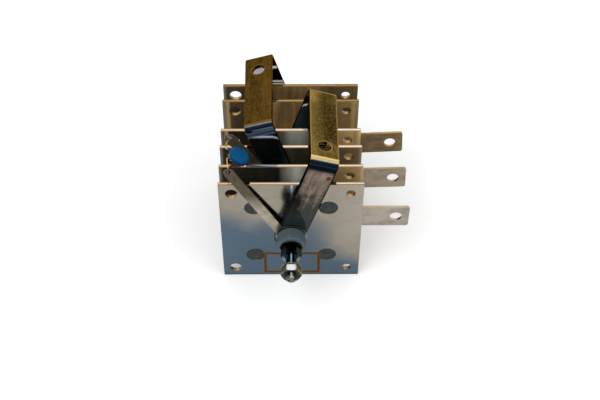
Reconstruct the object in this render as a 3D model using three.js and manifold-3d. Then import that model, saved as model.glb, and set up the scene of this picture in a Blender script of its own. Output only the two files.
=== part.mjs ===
// Three-phase plate rectifier stack: six square cooling plates with four press-fit diodes each, clamped on
// an insulated M8 stud together with three alternating-current tabs, two U-shaped bus straps and a surge
// suppressor. Millimetres. X points right, Y runs back along the stud, Z is up. The origin is on the floor
// under the stud, at the middle of the front plate's bottom edge.
import * as THREE from "three";
import { mergeVertices } from "three/addons/utils/BufferGeometryUtils.js";
import Module from "manifold-3d";

const wasm = await Module();
wasm.setup();

// Room left between pieces that sit in each other
const CLEARANCE = 0.3;

// Cooling plates
const PLATE_SIDE = 100;
const PLATE_THICKNESS = 3;
const FIXING_HOLE_INSET = 9;
const LEFT_HOLE_DIAMETER = 8.5;
const RIGHT_HOLE_DIAMETER = 6.5;

// Press-fit diodes, measured from the closed back of the case
const DIODE_PITCH = 52;
const CASE_DIAMETER = 12.8;
const CASE_HEIGHT = 7;
const SEAL_DIAMETER = 9.6;
const SEAL_HEIGHT = 1.8;
const LEAD_DIAMETER = 1.3;

// Insulating spacers between the plates
const SPACER_DIAMETER = 20;
const SPACER_LENGTH = 11.5;

// Insulating collars outside the plates
const COLLAR_DIAMETER = 21;
const COLLAR_LENGTH = 10.7;
const COLLAR_EDGE = 1.2;

// Stud and its insulating sleeve
const STUD_DIAMETER = 8;
const STUD_PROUD = 3.6;
const STUD_TIP_CHAMFER = 1;
const DRIVER_SLOT_WIDTH = 1.2;
const DRIVER_SLOT_DEPTH = 1.8;
const SLEEVE_WALL = 1;

// Nuts and washers
const NUT_ACROSS_FLATS = 13;
const CLAMP_NUT_HEIGHT = 6.8;
const MOUNTING_NUT_HEIGHT = 5.5;
const NUT_CHAMFER = 0.9;
const NUT_FACE_INSET = 0.2;
const MOUNTING_WASHER_DIAMETER = 14.4;
const MOUNTING_WASHER_THICKNESS = 1;
const LOCK_WASHER_DIAMETER = 16;
const LOCK_WASHER_THICKNESS = 1.6;
const LOCK_WASHER_TEETH = 18;
const LOCK_TOOTH_DEPTH = 1.3;
const BRACKET_GAP = 9.4;

// Alternating-current tabs
const TAB_WIDTH = 20;
const TAB_THICKNESS = 2;
const TAB_REACH = 85.4;
const TAB_HOLE_INSET = 9.7;
const TAB_HOLE_DIAMETER = 8.5;
const TAB_CORNER = 2;
const TAB_TURNS_DEG = [-0.4, 2, 3.3];

// Bus straps
const STRAP_WIDTH = 20;
const STRAP_THICKNESS = 3;
const STRAP_TOP = 78;
const PLUS_STRAP_RISE = 1.6;
const STRAP_FOOT = 10.5;
const STRAP_FOOT_CORNER = 2.5;
const STRAP_BEND = 5;
const STRAP_HOLE_DIAMETER = 9;
const STRAP_HOLE_INSET = 16;
const STRAP_LEAN_DEG = 17;

// Plate that joins the eight leads in the wide gap to the minus strap
const COLLECTOR_MARGIN = 5;
const COLLECTOR_THICKNESS = 1;
const COLLECTOR_CORNER = 5;

// Solder lugs
const LUG_THICKNESS = 1;
const LUG_RING_DIAMETER = 22.4;
const LUG_STRIP_WIDTH = 7.6;
const LUG_STRIP_OFFSET = -3.7;
const LUG_HEAD_WIDTH = 7;
const LUG_HEAD_LENGTH = 8;
const LUG_HEAD_CORNER = 2;
const LUG_WIRE_HOLE_INSET = 2.9;
const LUG_WIRE_HOLE_OFFSET = -3.3;
const LUG_WIRE_HOLE_DIAMETER = 3.6;
const OUTER_LUG_REACH = 79.4;
const OUTER_LUG_LEAN_DEG = -30.6;
const OUTER_LUG_BEND_AT = 15;
const OUTER_LUG_BEND_DEG = -2.5;
const INNER_LUG_REACH = 82.7;
const INNER_LUG_LEAN_DEG = -29.5;
const INNER_LUG_BEND_AT = 55;
const INNER_LUG_BEND_DEG = 8.5;

// Surge suppressor disc, hung by its leads from the outer rims of the lugs' wire holes
const SUPPRESSOR_DIAMETER = 15;
const SUPPRESSOR_THICKNESS = 5;
const SUPPRESSOR_RIM_DEPTH = 2;
const SUPPRESSOR_RIGHT_OF_WIRES = 7.2;
const SUPPRESSOR_BELOW_WIRES = 1;
const SUPPRESSOR_ROLL_DEG = 33;
const SUPPRESSOR_SPIN_DEG = 10;
const NECK_LENGTH = 1.8;
const NECK_DIAMETER = 2.4;
const NECK_ROOT_DEPTH = 2.4;
const NECK_TIP_WALL = 0.15;
const WIRE_PITCH = 7.5;
const WIRE_DIAMETER = 0.9;
const WIRE_STRAIGHT = 1;
const WIRE_KNEE_OUT = 1.8;
const WIRE_KNEE_ASIDE = 1.5;
const WIRE_BEFORE_LUG = 2.5;
const WIRE_PAST_LUG = 1;

// Facets round a circle, and in a quarter or half turn of an edge
const ROUND = 24;
const SMALL_ROUND = 16;
const WIRE_FACETS = 8;
const BEND_FACETS = 6;
const WIRE_STEPS = 10;

// How far a cutting body stands past what it cuts
const OVERSHOOT = 1;

// Points closer than this are one point of a solid
const MERGE_DISTANCE = 1e-4;

const SLEEVE_BORE = STUD_DIAMETER + 2 * CLEARANCE;
const SLEEVE_DIAMETER = SLEEVE_BORE + 2 * SLEEVE_WALL;
const STACK_BORE = SLEEVE_DIAMETER + 2 * CLEARANCE;
const NUT_BORE = STUD_DIAMETER + 2 * CLEARANCE;
const DIODE_HOLE_DIAMETER = CASE_DIAMETER + 2 * CLEARANCE;
const radians = THREE.MathUtils.degToRad;

const FINISHES = {
  plate: { color: 0x9a9c9c, roughness: 0.38, metalness: 0.95 },
  diode: { color: 0x4b5556, roughness: 0.6, metalness: 0.4 },
  terminal: { color: 0xa49a88, roughness: 0.35, metalness: 0.95 },
  strap: { color: 0x8b8272, roughness: 0.32, metalness: 0.95 },
  copper: { color: 0xb58a5a, roughness: 0.35, metalness: 0.95 },
  lug: { color: 0x9c9484, roughness: 0.35, metalness: 0.95 },
  spacer: { color: 0xb9bab4, roughness: 0.6, metalness: 0 },
  collar: { color: 0x5c6968, roughness: 0.5, metalness: 0 },
  sleeve: { color: 0xd8d4c4, roughness: 0.5, metalness: 0 },
  steel: { color: 0xb9bcbe, roughness: 0.25, metalness: 1 },
  yellowZinc: { color: 0x9a9468, roughness: 0.3, metalness: 1 },
  suppressor: { color: 0x005f96, roughness: 0.4, metalness: 0 },
};

// Solids and geometry

function solidOf(geometry) {
  const bare = new THREE.BufferGeometry();
  bare.setAttribute("position", geometry.getAttribute("position"));
  bare.setIndex(geometry.index);
  const merged = mergeVertices(bare, MERGE_DISTANCE);
  return new wasm.Manifold(
    new wasm.Mesh({
      numProp: 3,
      vertProperties: new Float32Array(merged.getAttribute("position").array),
      triVerts: new Uint32Array(merged.index.array),
    }),
  );
}

function geometryOf(solid) {
  const mesh = solid.getMesh();
  const geometry = new THREE.BufferGeometry();
  geometry.setAttribute("position", new THREE.BufferAttribute(mesh.vertProperties, 3));
  geometry.setIndex(new THREE.BufferAttribute(mesh.triVerts, 1));
  geometry.computeVertexNormals();
  return geometry;
}

function cut(geometry, ...cutters) {
  const solid = cutters.reduce((left, cutter) => left.subtract(solidOf(cutter)), solidOf(geometry));
  return geometryOf(solid);
}

function join(...geometries) {
  const solid = geometries.map(solidOf).reduce((all, next) => all.add(next));
  return geometryOf(solid);
}

function common(geometry, other) {
  return geometryOf(solidOf(geometry).intersect(solidOf(other)));
}

// A revolved body about the Y axis from [radius, y] points
function revolve(profile, facets = ROUND) {
  const points = profile.map(([radius, y]) => new THREE.Vector2(radius, y));
  return new THREE.LatheGeometry(points, facets);
}

// A rod along Y from y = 0
function rodAlongY(diameter, length, facets = ROUND) {
  const geometry = new THREE.CylinderGeometry(diameter / 2, diameter / 2, length, facets);
  return geometry.translate(0, length / 2, 0);
}

// A round hole's outline
function circlePath(diameter, x = 0, z = 0) {
  const path = new THREE.Path();
  path.absarc(x, z, diameter / 2, 0, 2 * Math.PI, true);
  return path;
}

// A rectangle drawn across the stud, x to the right and z up
function rectangle(left, bottom, right, top) {
  const shape = new THREE.Shape();
  shape.moveTo(left, bottom);
  shape.lineTo(right, bottom);
  shape.lineTo(right, top);
  shape.lineTo(left, top);
  return shape;
}

// The same with its corners cut off at 45 degrees
function clippedRectangle(left, bottom, right, top, corner) {
  const shape = new THREE.Shape();
  shape.moveTo(left + corner, bottom);
  shape.lineTo(right - corner, bottom);
  shape.lineTo(right, bottom + corner);
  shape.lineTo(right, top - corner);
  shape.lineTo(right - corner, top);
  shape.lineTo(left + corner, top);
  shape.lineTo(left, top - corner);
  shape.lineTo(left, bottom + corner);
  return shape;
}

// A sheet with the given outline across the stud, from y = 0 back to y = thickness
function sheetAcross(shape, thickness, facets = ROUND) {
  const geometry = new THREE.ExtrudeGeometry(shape, {
    depth: thickness,
    bevelEnabled: false,
    curveSegments: facets / 2,
  });
  return geometry.rotateX(Math.PI / 2).translate(0, thickness, 0);
}

// A plain tube along Y from y = 0
function tube(diameter, bore, length, facets = ROUND) {
  const outer = diameter / 2;
  const inner = bore / 2;
  return revolve(
    [
      [inner, 0],
      [outer, 0],
      [outer, length],
      [inner, length],
      [inner, 0],
    ],
    facets,
  );
}

// A tube with a chamfer on its outer edges
function edgedTube(diameter, bore, length, edge) {
  const outer = diameter / 2;
  const inner = bore / 2;
  return revolve([
    [inner, 0],
    [outer - edge, 0],
    [outer, edge],
    [outer, length - edge],
    [outer - edge, length],
    [inner, length],
    [inner, 0],
  ]);
}

// Sub-parts, each drawn from its front face at y = 0 about the stud's axis

const DIODE_PLACES = [
  [-1, 1],
  [1, 1],
  [-1, -1],
  [1, -1],
].map(([x, z]) => [(x * DIODE_PITCH) / 2, (z * DIODE_PITCH) / 2]);

function plateGeometry() {
  const half = PLATE_SIDE / 2;
  const shape = rectangle(-half, -half, half, half);
  const holeAt = half - FIXING_HOLE_INSET;
  for (const z of [-holeAt, holeAt]) {
    shape.holes.push(circlePath(LEFT_HOLE_DIAMETER, -holeAt, z));
    shape.holes.push(circlePath(RIGHT_HOLE_DIAMETER, holeAt, z));
  }
  for (const [x, z] of DIODE_PLACES) {
    shape.holes.push(circlePath(DIODE_HOLE_DIAMETER, x, z));
  }
  shape.holes.push(circlePath(STACK_BORE));
  return sheetAcross(shape, PLATE_THICKNESS, SMALL_ROUND);
}

// The case's closed back is at y = 0 and the lead ends at leadEnd
function diodeGeometry(leadEnd) {
  const caseRadius = CASE_DIAMETER / 2;
  const sealRadius = SEAL_DIAMETER / 2;
  const leadRadius = LEAD_DIAMETER / 2;
  return revolve(
    [
      [0, 0],
      [caseRadius, 0],
      [caseRadius, CASE_HEIGHT],
      [sealRadius, CASE_HEIGHT],
      [leadRadius, CASE_HEIGHT + SEAL_HEIGHT],
      [leadRadius, leadEnd],
      [0, leadEnd],
    ],
    SMALL_ROUND,
  );
}

function tabGeometry() {
  const half = TAB_WIDTH / 2;
  const shape = new THREE.Shape();
  shape.moveTo(0, -half);
  shape.lineTo(TAB_REACH - TAB_CORNER, -half);
  shape.lineTo(TAB_REACH, -half + TAB_CORNER);
  shape.lineTo(TAB_REACH, half - TAB_CORNER);
  shape.lineTo(TAB_REACH - TAB_CORNER, half);
  shape.lineTo(0, half);
  shape.absarc(0, 0, half, Math.PI / 2, 1.5 * Math.PI, false);
  shape.holes.push(circlePath(STACK_BORE), circlePath(TAB_HOLE_DIAMETER, TAB_REACH - TAB_HOLE_INSET, 0));
  return sheetAcross(shape, TAB_THICKNESS);
}

// Turns a side view, drawn with x back along the stud and y up, to stand along the stud, its width along X
const SIDE_VIEW = new THREE.Matrix4().makeBasis(
  new THREE.Vector3(0, 1, 0),
  new THREE.Vector3(0, 0, 1),
  new THREE.Vector3(1, 0, 0),
);

// The side view of a strap: two legs from foot to bend, and the bridge between them, which is higher by
// rise at the drilled end
function strapProfile(span, rise) {
  const inside = STRAP_BEND - STRAP_THICKNESS;
  const shoulder = STRAP_TOP - STRAP_BEND;
  const shape = new THREE.Shape();
  shape.moveTo(0, -STRAP_FOOT);
  shape.lineTo(STRAP_THICKNESS, -STRAP_FOOT);
  shape.lineTo(STRAP_THICKNESS, shoulder + rise);
  shape.absarc(STRAP_BEND, shoulder + rise, inside, Math.PI, Math.PI / 2, true);
  shape.lineTo(span - STRAP_BEND, STRAP_TOP - STRAP_THICKNESS);
  shape.absarc(span - STRAP_BEND, shoulder, inside, Math.PI / 2, 0, true);
  shape.lineTo(span - STRAP_THICKNESS, -STRAP_FOOT);
  shape.lineTo(span, -STRAP_FOOT);
  shape.lineTo(span, shoulder);
  shape.absarc(span - STRAP_BEND, shoulder, STRAP_BEND, 0, Math.PI / 2, false);
  shape.lineTo(STRAP_BEND, STRAP_TOP + rise);
  shape.absarc(STRAP_BEND, shoulder + rise, STRAP_BEND, Math.PI / 2, Math.PI, false);
  return shape;
}

// A strap from the outer face of its drilled end at y = 0 to the outer face of its other leg at y = span
function strapGeometry(span, rise) {
  const half = STRAP_WIDTH / 2;
  const bent = new THREE.ExtrudeGeometry(strapProfile(span, rise), {
    depth: STRAP_WIDTH,
    bevelEnabled: false,
    curveSegments: BEND_FACETS / 2,
  });
  bent.applyMatrix4(SIDE_VIEW).translate(-half, 0, 0);
  const aboveStrap = STRAP_TOP + rise + STRAP_FOOT_CORNER + OVERSHOOT;
  const outline = clippedRectangle(-half, -STRAP_FOOT, half, aboveStrap, STRAP_FOOT_CORNER);
  const envelope = sheetAcross(outline, span + 2 * OVERSHOOT).translate(0, -OVERSHOOT, 0);
  const studHole = rodAlongY(STACK_BORE, span + 2 * OVERSHOOT).translate(0, -OVERSHOOT, 0);
  const terminalHole = rodAlongY(STRAP_HOLE_DIAMETER, STRAP_THICKNESS + rise + 2 * OVERSHOOT)
    .rotateX(Math.PI / 2)
    .translate(0, STRAP_HOLE_INSET, STRAP_TOP - STRAP_THICKNESS - OVERSHOOT);
  return cut(common(bent, envelope), studHole, terminalHole);
}

function collectorGeometry() {
  const half = DIODE_PITCH / 2 + COLLECTOR_MARGIN;
  const shape = clippedRectangle(-half, -half, half, half, COLLECTOR_CORNER);
  for (const [x, z] of DIODE_PLACES) {
    shape.holes.push(circlePath(LEAD_DIAMETER + 2 * CLEARANCE, x, z));
  }
  shape.holes.push(circlePath(STACK_BORE));
  return sheetAcross(shape, COLLECTOR_THICKNESS, SMALL_ROUND);
}

// The front view of a lug: its eye round the stud, its strip and its head with the wire hole
function lugOutline(reach, depth) {
  const halfStrip = LUG_STRIP_WIDTH / 2;
  const halfHead = LUG_HEAD_WIDTH / 2;
  const top = reach - LUG_HEAD_LENGTH / 2;
  const strip = rectangle(LUG_STRIP_OFFSET - halfStrip, 0, LUG_STRIP_OFFSET + halfStrip, top);
  const head = clippedRectangle(
    LUG_WIRE_HOLE_OFFSET - halfHead,
    reach - LUG_HEAD_LENGTH,
    LUG_WIRE_HOLE_OFFSET + halfHead,
    reach,
    LUG_HEAD_CORNER,
  );
  const eye = rodAlongY(LUG_RING_DIAMETER, depth);
  const studHole = rodAlongY(STACK_BORE, depth);
  const wire = rodAlongY(LUG_WIRE_HOLE_DIAMETER, depth, SMALL_ROUND).translate(
    LUG_WIRE_HOLE_OFFSET,
    0,
    reach - LUG_WIRE_HOLE_INSET,
  );
  return cut(join(eye, sheetAcross(strip, depth), sheetAcross(head, depth)), studHole, wire);
}

// A lug whose strip runs straight up; past bendAt it is bent forward by bendDeg, or back where that is
// negative
function lugGeometry({ reach, bendAt, bendDeg }) {
  const bend = radians(bendDeg);
  const past = reach - bendAt;
  const forward = past * Math.sin(bend);
  const tip = bendAt + past * Math.cos(bend);
  const heel = bendAt + LUG_THICKNESS * Math.tan(bend / 2);
  const side = new THREE.Shape();
  side.moveTo(0, -LUG_RING_DIAMETER);
  side.lineTo(LUG_THICKNESS, -LUG_RING_DIAMETER);
  side.lineTo(LUG_THICKNESS, heel);
  side.lineTo(LUG_THICKNESS * Math.cos(bend) - forward, tip + LUG_THICKNESS * Math.sin(bend));
  side.lineTo(-forward, tip);
  side.lineTo(0, bendAt);
  const sheet = new THREE.ExtrudeGeometry(side, { depth: 2 * LUG_RING_DIAMETER, bevelEnabled: false });
  sheet.applyMatrix4(SIDE_VIEW).translate(-LUG_RING_DIAMETER, 0, 0);
  const depth = Math.abs(forward) + LUG_THICKNESS + 2 * OVERSHOOT;
  const start = Math.min(0, -forward) - OVERSHOOT;
  return common(sheet, lugOutline(reach, depth).translate(0, start, 0));
}

function nutGeometry(height) {
  const corner = NUT_ACROSS_FLATS / Math.sqrt(3);
  const hexagon = new THREE.CylinderGeometry(corner, corner, height, 6)
    .rotateY(Math.PI / 6)
    .translate(0, height / 2, 0);
  const inner = NUT_BORE / 2;
  const faceRadius = NUT_ACROSS_FLATS / 2 - NUT_FACE_INSET;
  const outer = faceRadius + 2 * NUT_CHAMFER;
  const turned = revolve([
    [inner, 0],
    [faceRadius, 0],
    [outer, NUT_CHAMFER],
    [outer, height - NUT_CHAMFER],
    [faceRadius, height],
    [inner, height],
    [inner, 0],
  ]);
  return common(hexagon, turned);
}

// A washer with teeth round its edge
function lockWasherGeometry() {
  const shape = new THREE.Shape();
  const steps = 2 * LOCK_WASHER_TEETH;
  for (let step = 0; step <= steps; step += 1) {
    const radius = LOCK_WASHER_DIAMETER / 2 - (step % 2) * LOCK_TOOTH_DEPTH;
    const angle = (2 * Math.PI * step) / steps;
    const point = [radius * Math.cos(angle), radius * Math.sin(angle)];
    if (step === 0) {
      shape.moveTo(...point);
    } else {
      shape.lineTo(...point);
    }
  }
  shape.holes.push(circlePath(NUT_BORE));
  return sheetAcross(shape, LOCK_WASHER_THICKNESS);
}

function studGeometry(length) {
  const radius = STUD_DIAMETER / 2;
  const rod = revolve([
    [0, 0],
    [radius - STUD_TIP_CHAMFER, 0],
    [radius, STUD_TIP_CHAMFER],
    [radius, length - STUD_TIP_CHAMFER],
    [radius - STUD_TIP_CHAMFER, length],
    [0, length],
  ]);
  const slot = new THREE.BoxGeometry(2 * STUD_DIAMETER, 2 * DRIVER_SLOT_DEPTH, DRIVER_SLOT_WIDTH);
  return cut(rod, slot);
}

// How far from the disc's middle its edge is where a wire leaves
function suppressorEdge() {
  return Math.sqrt((SUPPRESSOR_DIAMETER / 2) ** 2 - (WIRE_PITCH / 2) ** 2);
}

// A disc about the Z axis with a rounded rim, and two necks of its coating on the -X side
function suppressorGeometry() {
  const radius = SUPPRESSOR_DIAMETER / 2;
  const half = SUPPRESSOR_THICKNESS / 2;
  const flat = radius - SUPPRESSOR_RIM_DEPTH;
  const profile = [[0, -half]];
  for (let step = 0; step <= BEND_FACETS; step += 1) {
    const angle = -Math.PI / 2 + (Math.PI * step) / BEND_FACETS;
    profile.push([flat + SUPPRESSOR_RIM_DEPTH * Math.cos(angle), half * Math.sin(angle)]);
  }
  profile.push([0, half]);
  const disc = revolve(profile).rotateX(Math.PI / 2);
  const root = suppressorEdge() - NECK_ROOT_DEPTH;
  const tip = suppressorEdge() + NECK_LENGTH;
  const tipRadius = WIRE_DIAMETER / 2 + NECK_TIP_WALL;
  const necks = [-1, 1].map((side) => {
    const cone = new THREE.CylinderGeometry(tipRadius, NECK_DIAMETER / 2, tip - root, SMALL_ROUND);
    return cone.rotateZ(Math.PI / 2).translate(-(tip + root) / 2, (side * WIRE_PITCH) / 2, 0);
  });
  return join(disc, ...necks);
}

function wireGeometry(points) {
  const section = new THREE.Shape();
  section.absarc(0, 0, WIRE_DIAMETER / 2, 0, 2 * Math.PI, false);
  return new THREE.ExtrudeGeometry(section, {
    steps: WIRE_STEPS,
    curveSegments: WIRE_FACETS / 2,
    bevelEnabled: false,
    extrudePath: new THREE.CatmullRomCurve3(points, false, "centripetal"),
  });
}

// The stack: each piece's front face along the stud, built up from the front plate both ways

const REARWARD = [
  ["cooling_plate_1", PLATE_THICKNESS],
  ["spacer_1", SPACER_LENGTH],
  ["ac_terminal_1", TAB_THICKNESS],
  ["cooling_plate_2", PLATE_THICKNESS],
  ["spacer_2", SPACER_LENGTH],
  ["inner_solder_lug", LUG_THICKNESS],
  ["plus_strap_front_leg", STRAP_THICKNESS],
  ["cooling_plate_3", PLATE_THICKNESS],
  ["spacer_3", SPACER_LENGTH],
  ["ac_terminal_2", TAB_THICKNESS],
  ["cooling_plate_4", PLATE_THICKNESS],
  ["spacer_4", SPACER_LENGTH],
  ["minus_strap_rear_leg", STRAP_THICKNESS],
  ["lead_collector", COLLECTOR_THICKNESS],
  ["spacer_5", SPACER_LENGTH],
  ["cooling_plate_5", PLATE_THICKNESS],
  ["ac_terminal_3", TAB_THICKNESS],
  ["spacer_6", SPACER_LENGTH],
  ["cooling_plate_6", PLATE_THICKNESS],
  ["plus_strap_rear_leg", STRAP_THICKNESS],
  ["rear_collar", COLLAR_LENGTH],
  ["rear_lock_washer", LOCK_WASHER_THICKNESS],
  ["rear_clamp_nut", CLAMP_NUT_HEIGHT],
  ["rear_bracket_gap", BRACKET_GAP],
  ["rear_mounting_washer", MOUNTING_WASHER_THICKNESS],
  ["rear_nut_seat", CLEARANCE],
  ["rear_mounting_nut", MOUNTING_NUT_HEIGHT],
  ["stud_rear_tip", STUD_PROUD],
];
const FORWARD = [
  ["minus_strap_front_leg", STRAP_THICKNESS],
  ["outer_solder_lug", LUG_THICKNESS],
  ["front_collar", COLLAR_LENGTH],
  ["front_lock_washer", LOCK_WASHER_THICKNESS],
  ["front_clamp_nut", CLAMP_NUT_HEIGHT],
  ["front_bracket_gap", BRACKET_GAP],
  ["front_mounting_washer", MOUNTING_WASHER_THICKNESS],
  ["front_nut_seat", CLEARANCE],
  ["front_mounting_nut", MOUNTING_NUT_HEIGHT],
  ["stud_front_tip", STUD_PROUD],
];

const faceOf = {};
let reached = -PLATE_THICKNESS / 2;
for (const [name, thickness] of REARWARD) {
  faceOf[name] = reached;
  reached += thickness;
}
const studRear = reached;
reached = -PLATE_THICKNESS / 2;
for (const [name, thickness] of FORWARD) {
  reached -= thickness;
  faceOf[name] = reached;
}
const studFront = reached;

// Assembly

const rectifier = new THREE.Group();
const stack = new THREE.Group();
stack.position.set(0, 0, PLATE_SIDE / 2);
rectifier.add(stack);

function addPart(name, geometry, finish, parent = stack) {
  const mesh = new THREE.Mesh(geometry, new THREE.MeshStandardMaterial(FINISHES[finish]));
  mesh.name = name;
  parent.add(mesh);
  return mesh;
}

function addToStack(name, geometry, finish) {
  const mesh = addPart(name, geometry, finish);
  mesh.position.y = faceOf[name];
  return mesh;
}

function addPlates() {
  for (let number = 1; number <= 6; number += 1) {
    addToStack(`cooling_plate_${number}`, plateGeometry(), "plate");
  }
}

// Four diodes in one plate: back is where their closed backs lie, leadEnd where their leads stop
function addDiodes(number, back, leadEnd) {
  DIODE_PLACES.forEach(([x, z], index) => {
    const corner = ["top_left", "top_right", "bottom_left", "bottom_right"][index];
    const diode = addPart(`diode_${number}_${corner}`, diodeGeometry(Math.abs(leadEnd - back)), "diode");
    diode.position.set(x, back, z);
    if (leadEnd < back) diode.rotation.x = Math.PI;
  });
}

function addAllDiodes() {
  const front = (number) => faceOf[`cooling_plate_${number}`];
  const rear = (number) => front(number) + PLATE_THICKNESS;
  const collectorMiddle = faceOf.lead_collector + COLLECTOR_THICKNESS / 2;
  addDiodes(1, front(1), front(2) - CLEARANCE);
  addDiodes(2, front(2), front(3) - CLEARANCE);
  addDiodes(3, front(3), front(4) - CLEARANCE);
  addDiodes(4, front(4), collectorMiddle - CLEARANCE / 2);
  addDiodes(5, rear(5), collectorMiddle + CLEARANCE / 2);
  addDiodes(6, rear(6), rear(5) + CLEARANCE);
}

function addSpacers() {
  for (let number = 1; number <= 6; number += 1) {
    addToStack(`spacer_${number}`, tube(SPACER_DIAMETER, STACK_BORE, SPACER_LENGTH), "spacer");
  }
}

function addTerminals() {
  TAB_TURNS_DEG.forEach((turn, index) => {
    const tab = addToStack(`ac_terminal_${index + 1}`, tabGeometry(), "terminal");
    tab.rotation.y = -radians(turn);
  });
  addToStack("lead_collector", collectorGeometry(), "copper");
}

function addStraps() {
  const minusFront = faceOf.minus_strap_front_leg;
  const minusSpan = faceOf.minus_strap_rear_leg + STRAP_THICKNESS - minusFront;
  const minusTurn = new THREE.Group();
  minusTurn.rotation.y = radians(STRAP_LEAN_DEG);
  stack.add(minusTurn);
  const minus = addPart("minus_bus_strap", strapGeometry(minusSpan, 0), "strap", minusTurn);
  minus.position.y = minusFront;

  const plusRear = faceOf.plus_strap_rear_leg + STRAP_THICKNESS;
  const plusSpan = plusRear - faceOf.plus_strap_front_leg;
  const plusTurn = new THREE.Group();
  plusTurn.rotation.y = -radians(STRAP_LEAN_DEG);
  stack.add(plusTurn);
  const plus = addPart("plus_bus_strap", strapGeometry(plusSpan, PLUS_STRAP_RISE), "strap", plusTurn);
  plus.position.y = plusRear;
  plus.rotation.z = Math.PI;
}

const LUGS = {
  outer_solder_lug: {
    reach: OUTER_LUG_REACH,
    leanDeg: OUTER_LUG_LEAN_DEG,
    bendAt: OUTER_LUG_BEND_AT,
    bendDeg: OUTER_LUG_BEND_DEG,
  },
  inner_solder_lug: {
    reach: INNER_LUG_REACH,
    leanDeg: INNER_LUG_LEAN_DEG,
    bendAt: INNER_LUG_BEND_AT,
    bendDeg: INNER_LUG_BEND_DEG,
  },
};

function lugTurn(name) {
  return new THREE.Euler(0, radians(LUGS[name].leanDeg), 0);
}

// Where a wire passes a lug, beside the outer rim of its hole, in the stack's frame
function wireSeat(name) {
  const { reach, bendAt, bendDeg } = LUGS[name];
  const bend = radians(bendDeg);
  const outward = (LUG_WIRE_HOLE_DIAMETER - WIRE_DIAMETER) / 2 - CLEARANCE;
  const past = reach - LUG_WIRE_HOLE_INSET + outward - bendAt;
  const depth = (LUG_THICKNESS / 2) * Math.cos(bend) - past * Math.sin(bend);
  const centre = new THREE.Vector3(LUG_WIRE_HOLE_OFFSET, depth, bendAt + past * Math.cos(bend));
  centre.applyEuler(lugTurn(name));
  centre.y += faceOf[name];
  return centre;
}

function addLugs() {
  for (const name of Object.keys(LUGS)) {
    const lug = addToStack(name, lugGeometry(LUGS[name]), "lug");
    lug.rotation.copy(lugTurn(name));
  }
}

// The disc hangs between the two lugs on its wires, beside and below their wire holes
function addSuppressor() {
  const frontSeat = wireSeat("outer_solder_lug");
  const rearSeat = wireSeat("inner_solder_lug");
  const middle = new THREE.Vector3(
    frontSeat.x + SUPPRESSOR_RIGHT_OF_WIRES,
    (frontSeat.y + rearSeat.y) / 2,
    frontSeat.z - SUPPRESSOR_BELOW_WIRES,
  );
  const turn = new THREE.Euler(0, radians(SUPPRESSOR_ROLL_DEG), radians(SUPPRESSOR_SPIN_DEG), "YZX");
  const body = addPart("surge_suppressor", suppressorGeometry(), "suppressor");
  body.position.copy(middle);
  body.rotation.copy(turn);

  const start = suppressorEdge() + NECK_LENGTH + CLEARANCE;
  const ends = [
    ["suppressor_front_lead", -1, frontSeat],
    ["suppressor_rear_lead", 1, rearSeat],
  ];
  for (const [name, side, seat] of ends) {
    const along = new THREE.Vector3(0, side, 0);
    const fromDisc = (out, aside) =>
      new THREE.Vector3(-start - out, side * (WIRE_PITCH / 2 + aside), 0).applyEuler(turn).add(middle);
    const points = [
      fromDisc(0, 0),
      fromDisc(WIRE_STRAIGHT, 0),
      fromDisc(WIRE_KNEE_OUT, WIRE_KNEE_ASIDE),
      seat.clone().addScaledVector(along, -LUG_THICKNESS / 2 - WIRE_BEFORE_LUG),
      seat,
      seat.clone().addScaledVector(along, LUG_THICKNESS / 2 + WIRE_PAST_LUG),
    ];
    addPart(name, wireGeometry(points), "copper");
  }
}

function addStud() {
  const stud = addPart("central_stud", studGeometry(studRear - studFront), "steel");
  stud.position.y = studFront;
  const sleeveFront = faceOf.front_collar + CLEARANCE;
  const sleeveRear = faceOf.rear_collar + COLLAR_LENGTH - CLEARANCE;
  const sleeve = addPart(
    "insulating_sleeve",
    tube(SLEEVE_DIAMETER, SLEEVE_BORE, sleeveRear - sleeveFront, SMALL_ROUND),
    "sleeve",
  );
  sleeve.position.y = sleeveFront;
}

function addEndFittings() {
  for (const end of ["front", "rear"]) {
    const collar = edgedTube(COLLAR_DIAMETER, STACK_BORE, COLLAR_LENGTH, COLLAR_EDGE);
    addToStack(`${end}_collar`, collar, "collar");
    addToStack(`${end}_lock_washer`, lockWasherGeometry(), "steel");
    addToStack(`${end}_clamp_nut`, nutGeometry(CLAMP_NUT_HEIGHT), "steel");
    const washer = tube(MOUNTING_WASHER_DIAMETER, NUT_BORE, MOUNTING_WASHER_THICKNESS);
    addToStack(`${end}_mounting_washer`, washer, "yellowZinc");
    addToStack(`${end}_mounting_nut`, nutGeometry(MOUNTING_NUT_HEIGHT), "yellowZinc");
  }
}

addPlates();
addAllDiodes();
addSpacers();
addTerminals();
addStraps();
addLugs();
addSuppressor();
addStud();
addEndFittings();

export default rectifier;
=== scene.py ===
"""A three-phase plate rectifier stack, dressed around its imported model.

Metres throughout. X points right, Y runs back along the stud and Z is up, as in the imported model.
"""

import math

import bmesh
import bpy
from bpy.props import FloatProperty, FloatVectorProperty, IntProperty, PointerProperty
from mathutils import Matrix, Vector


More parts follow.
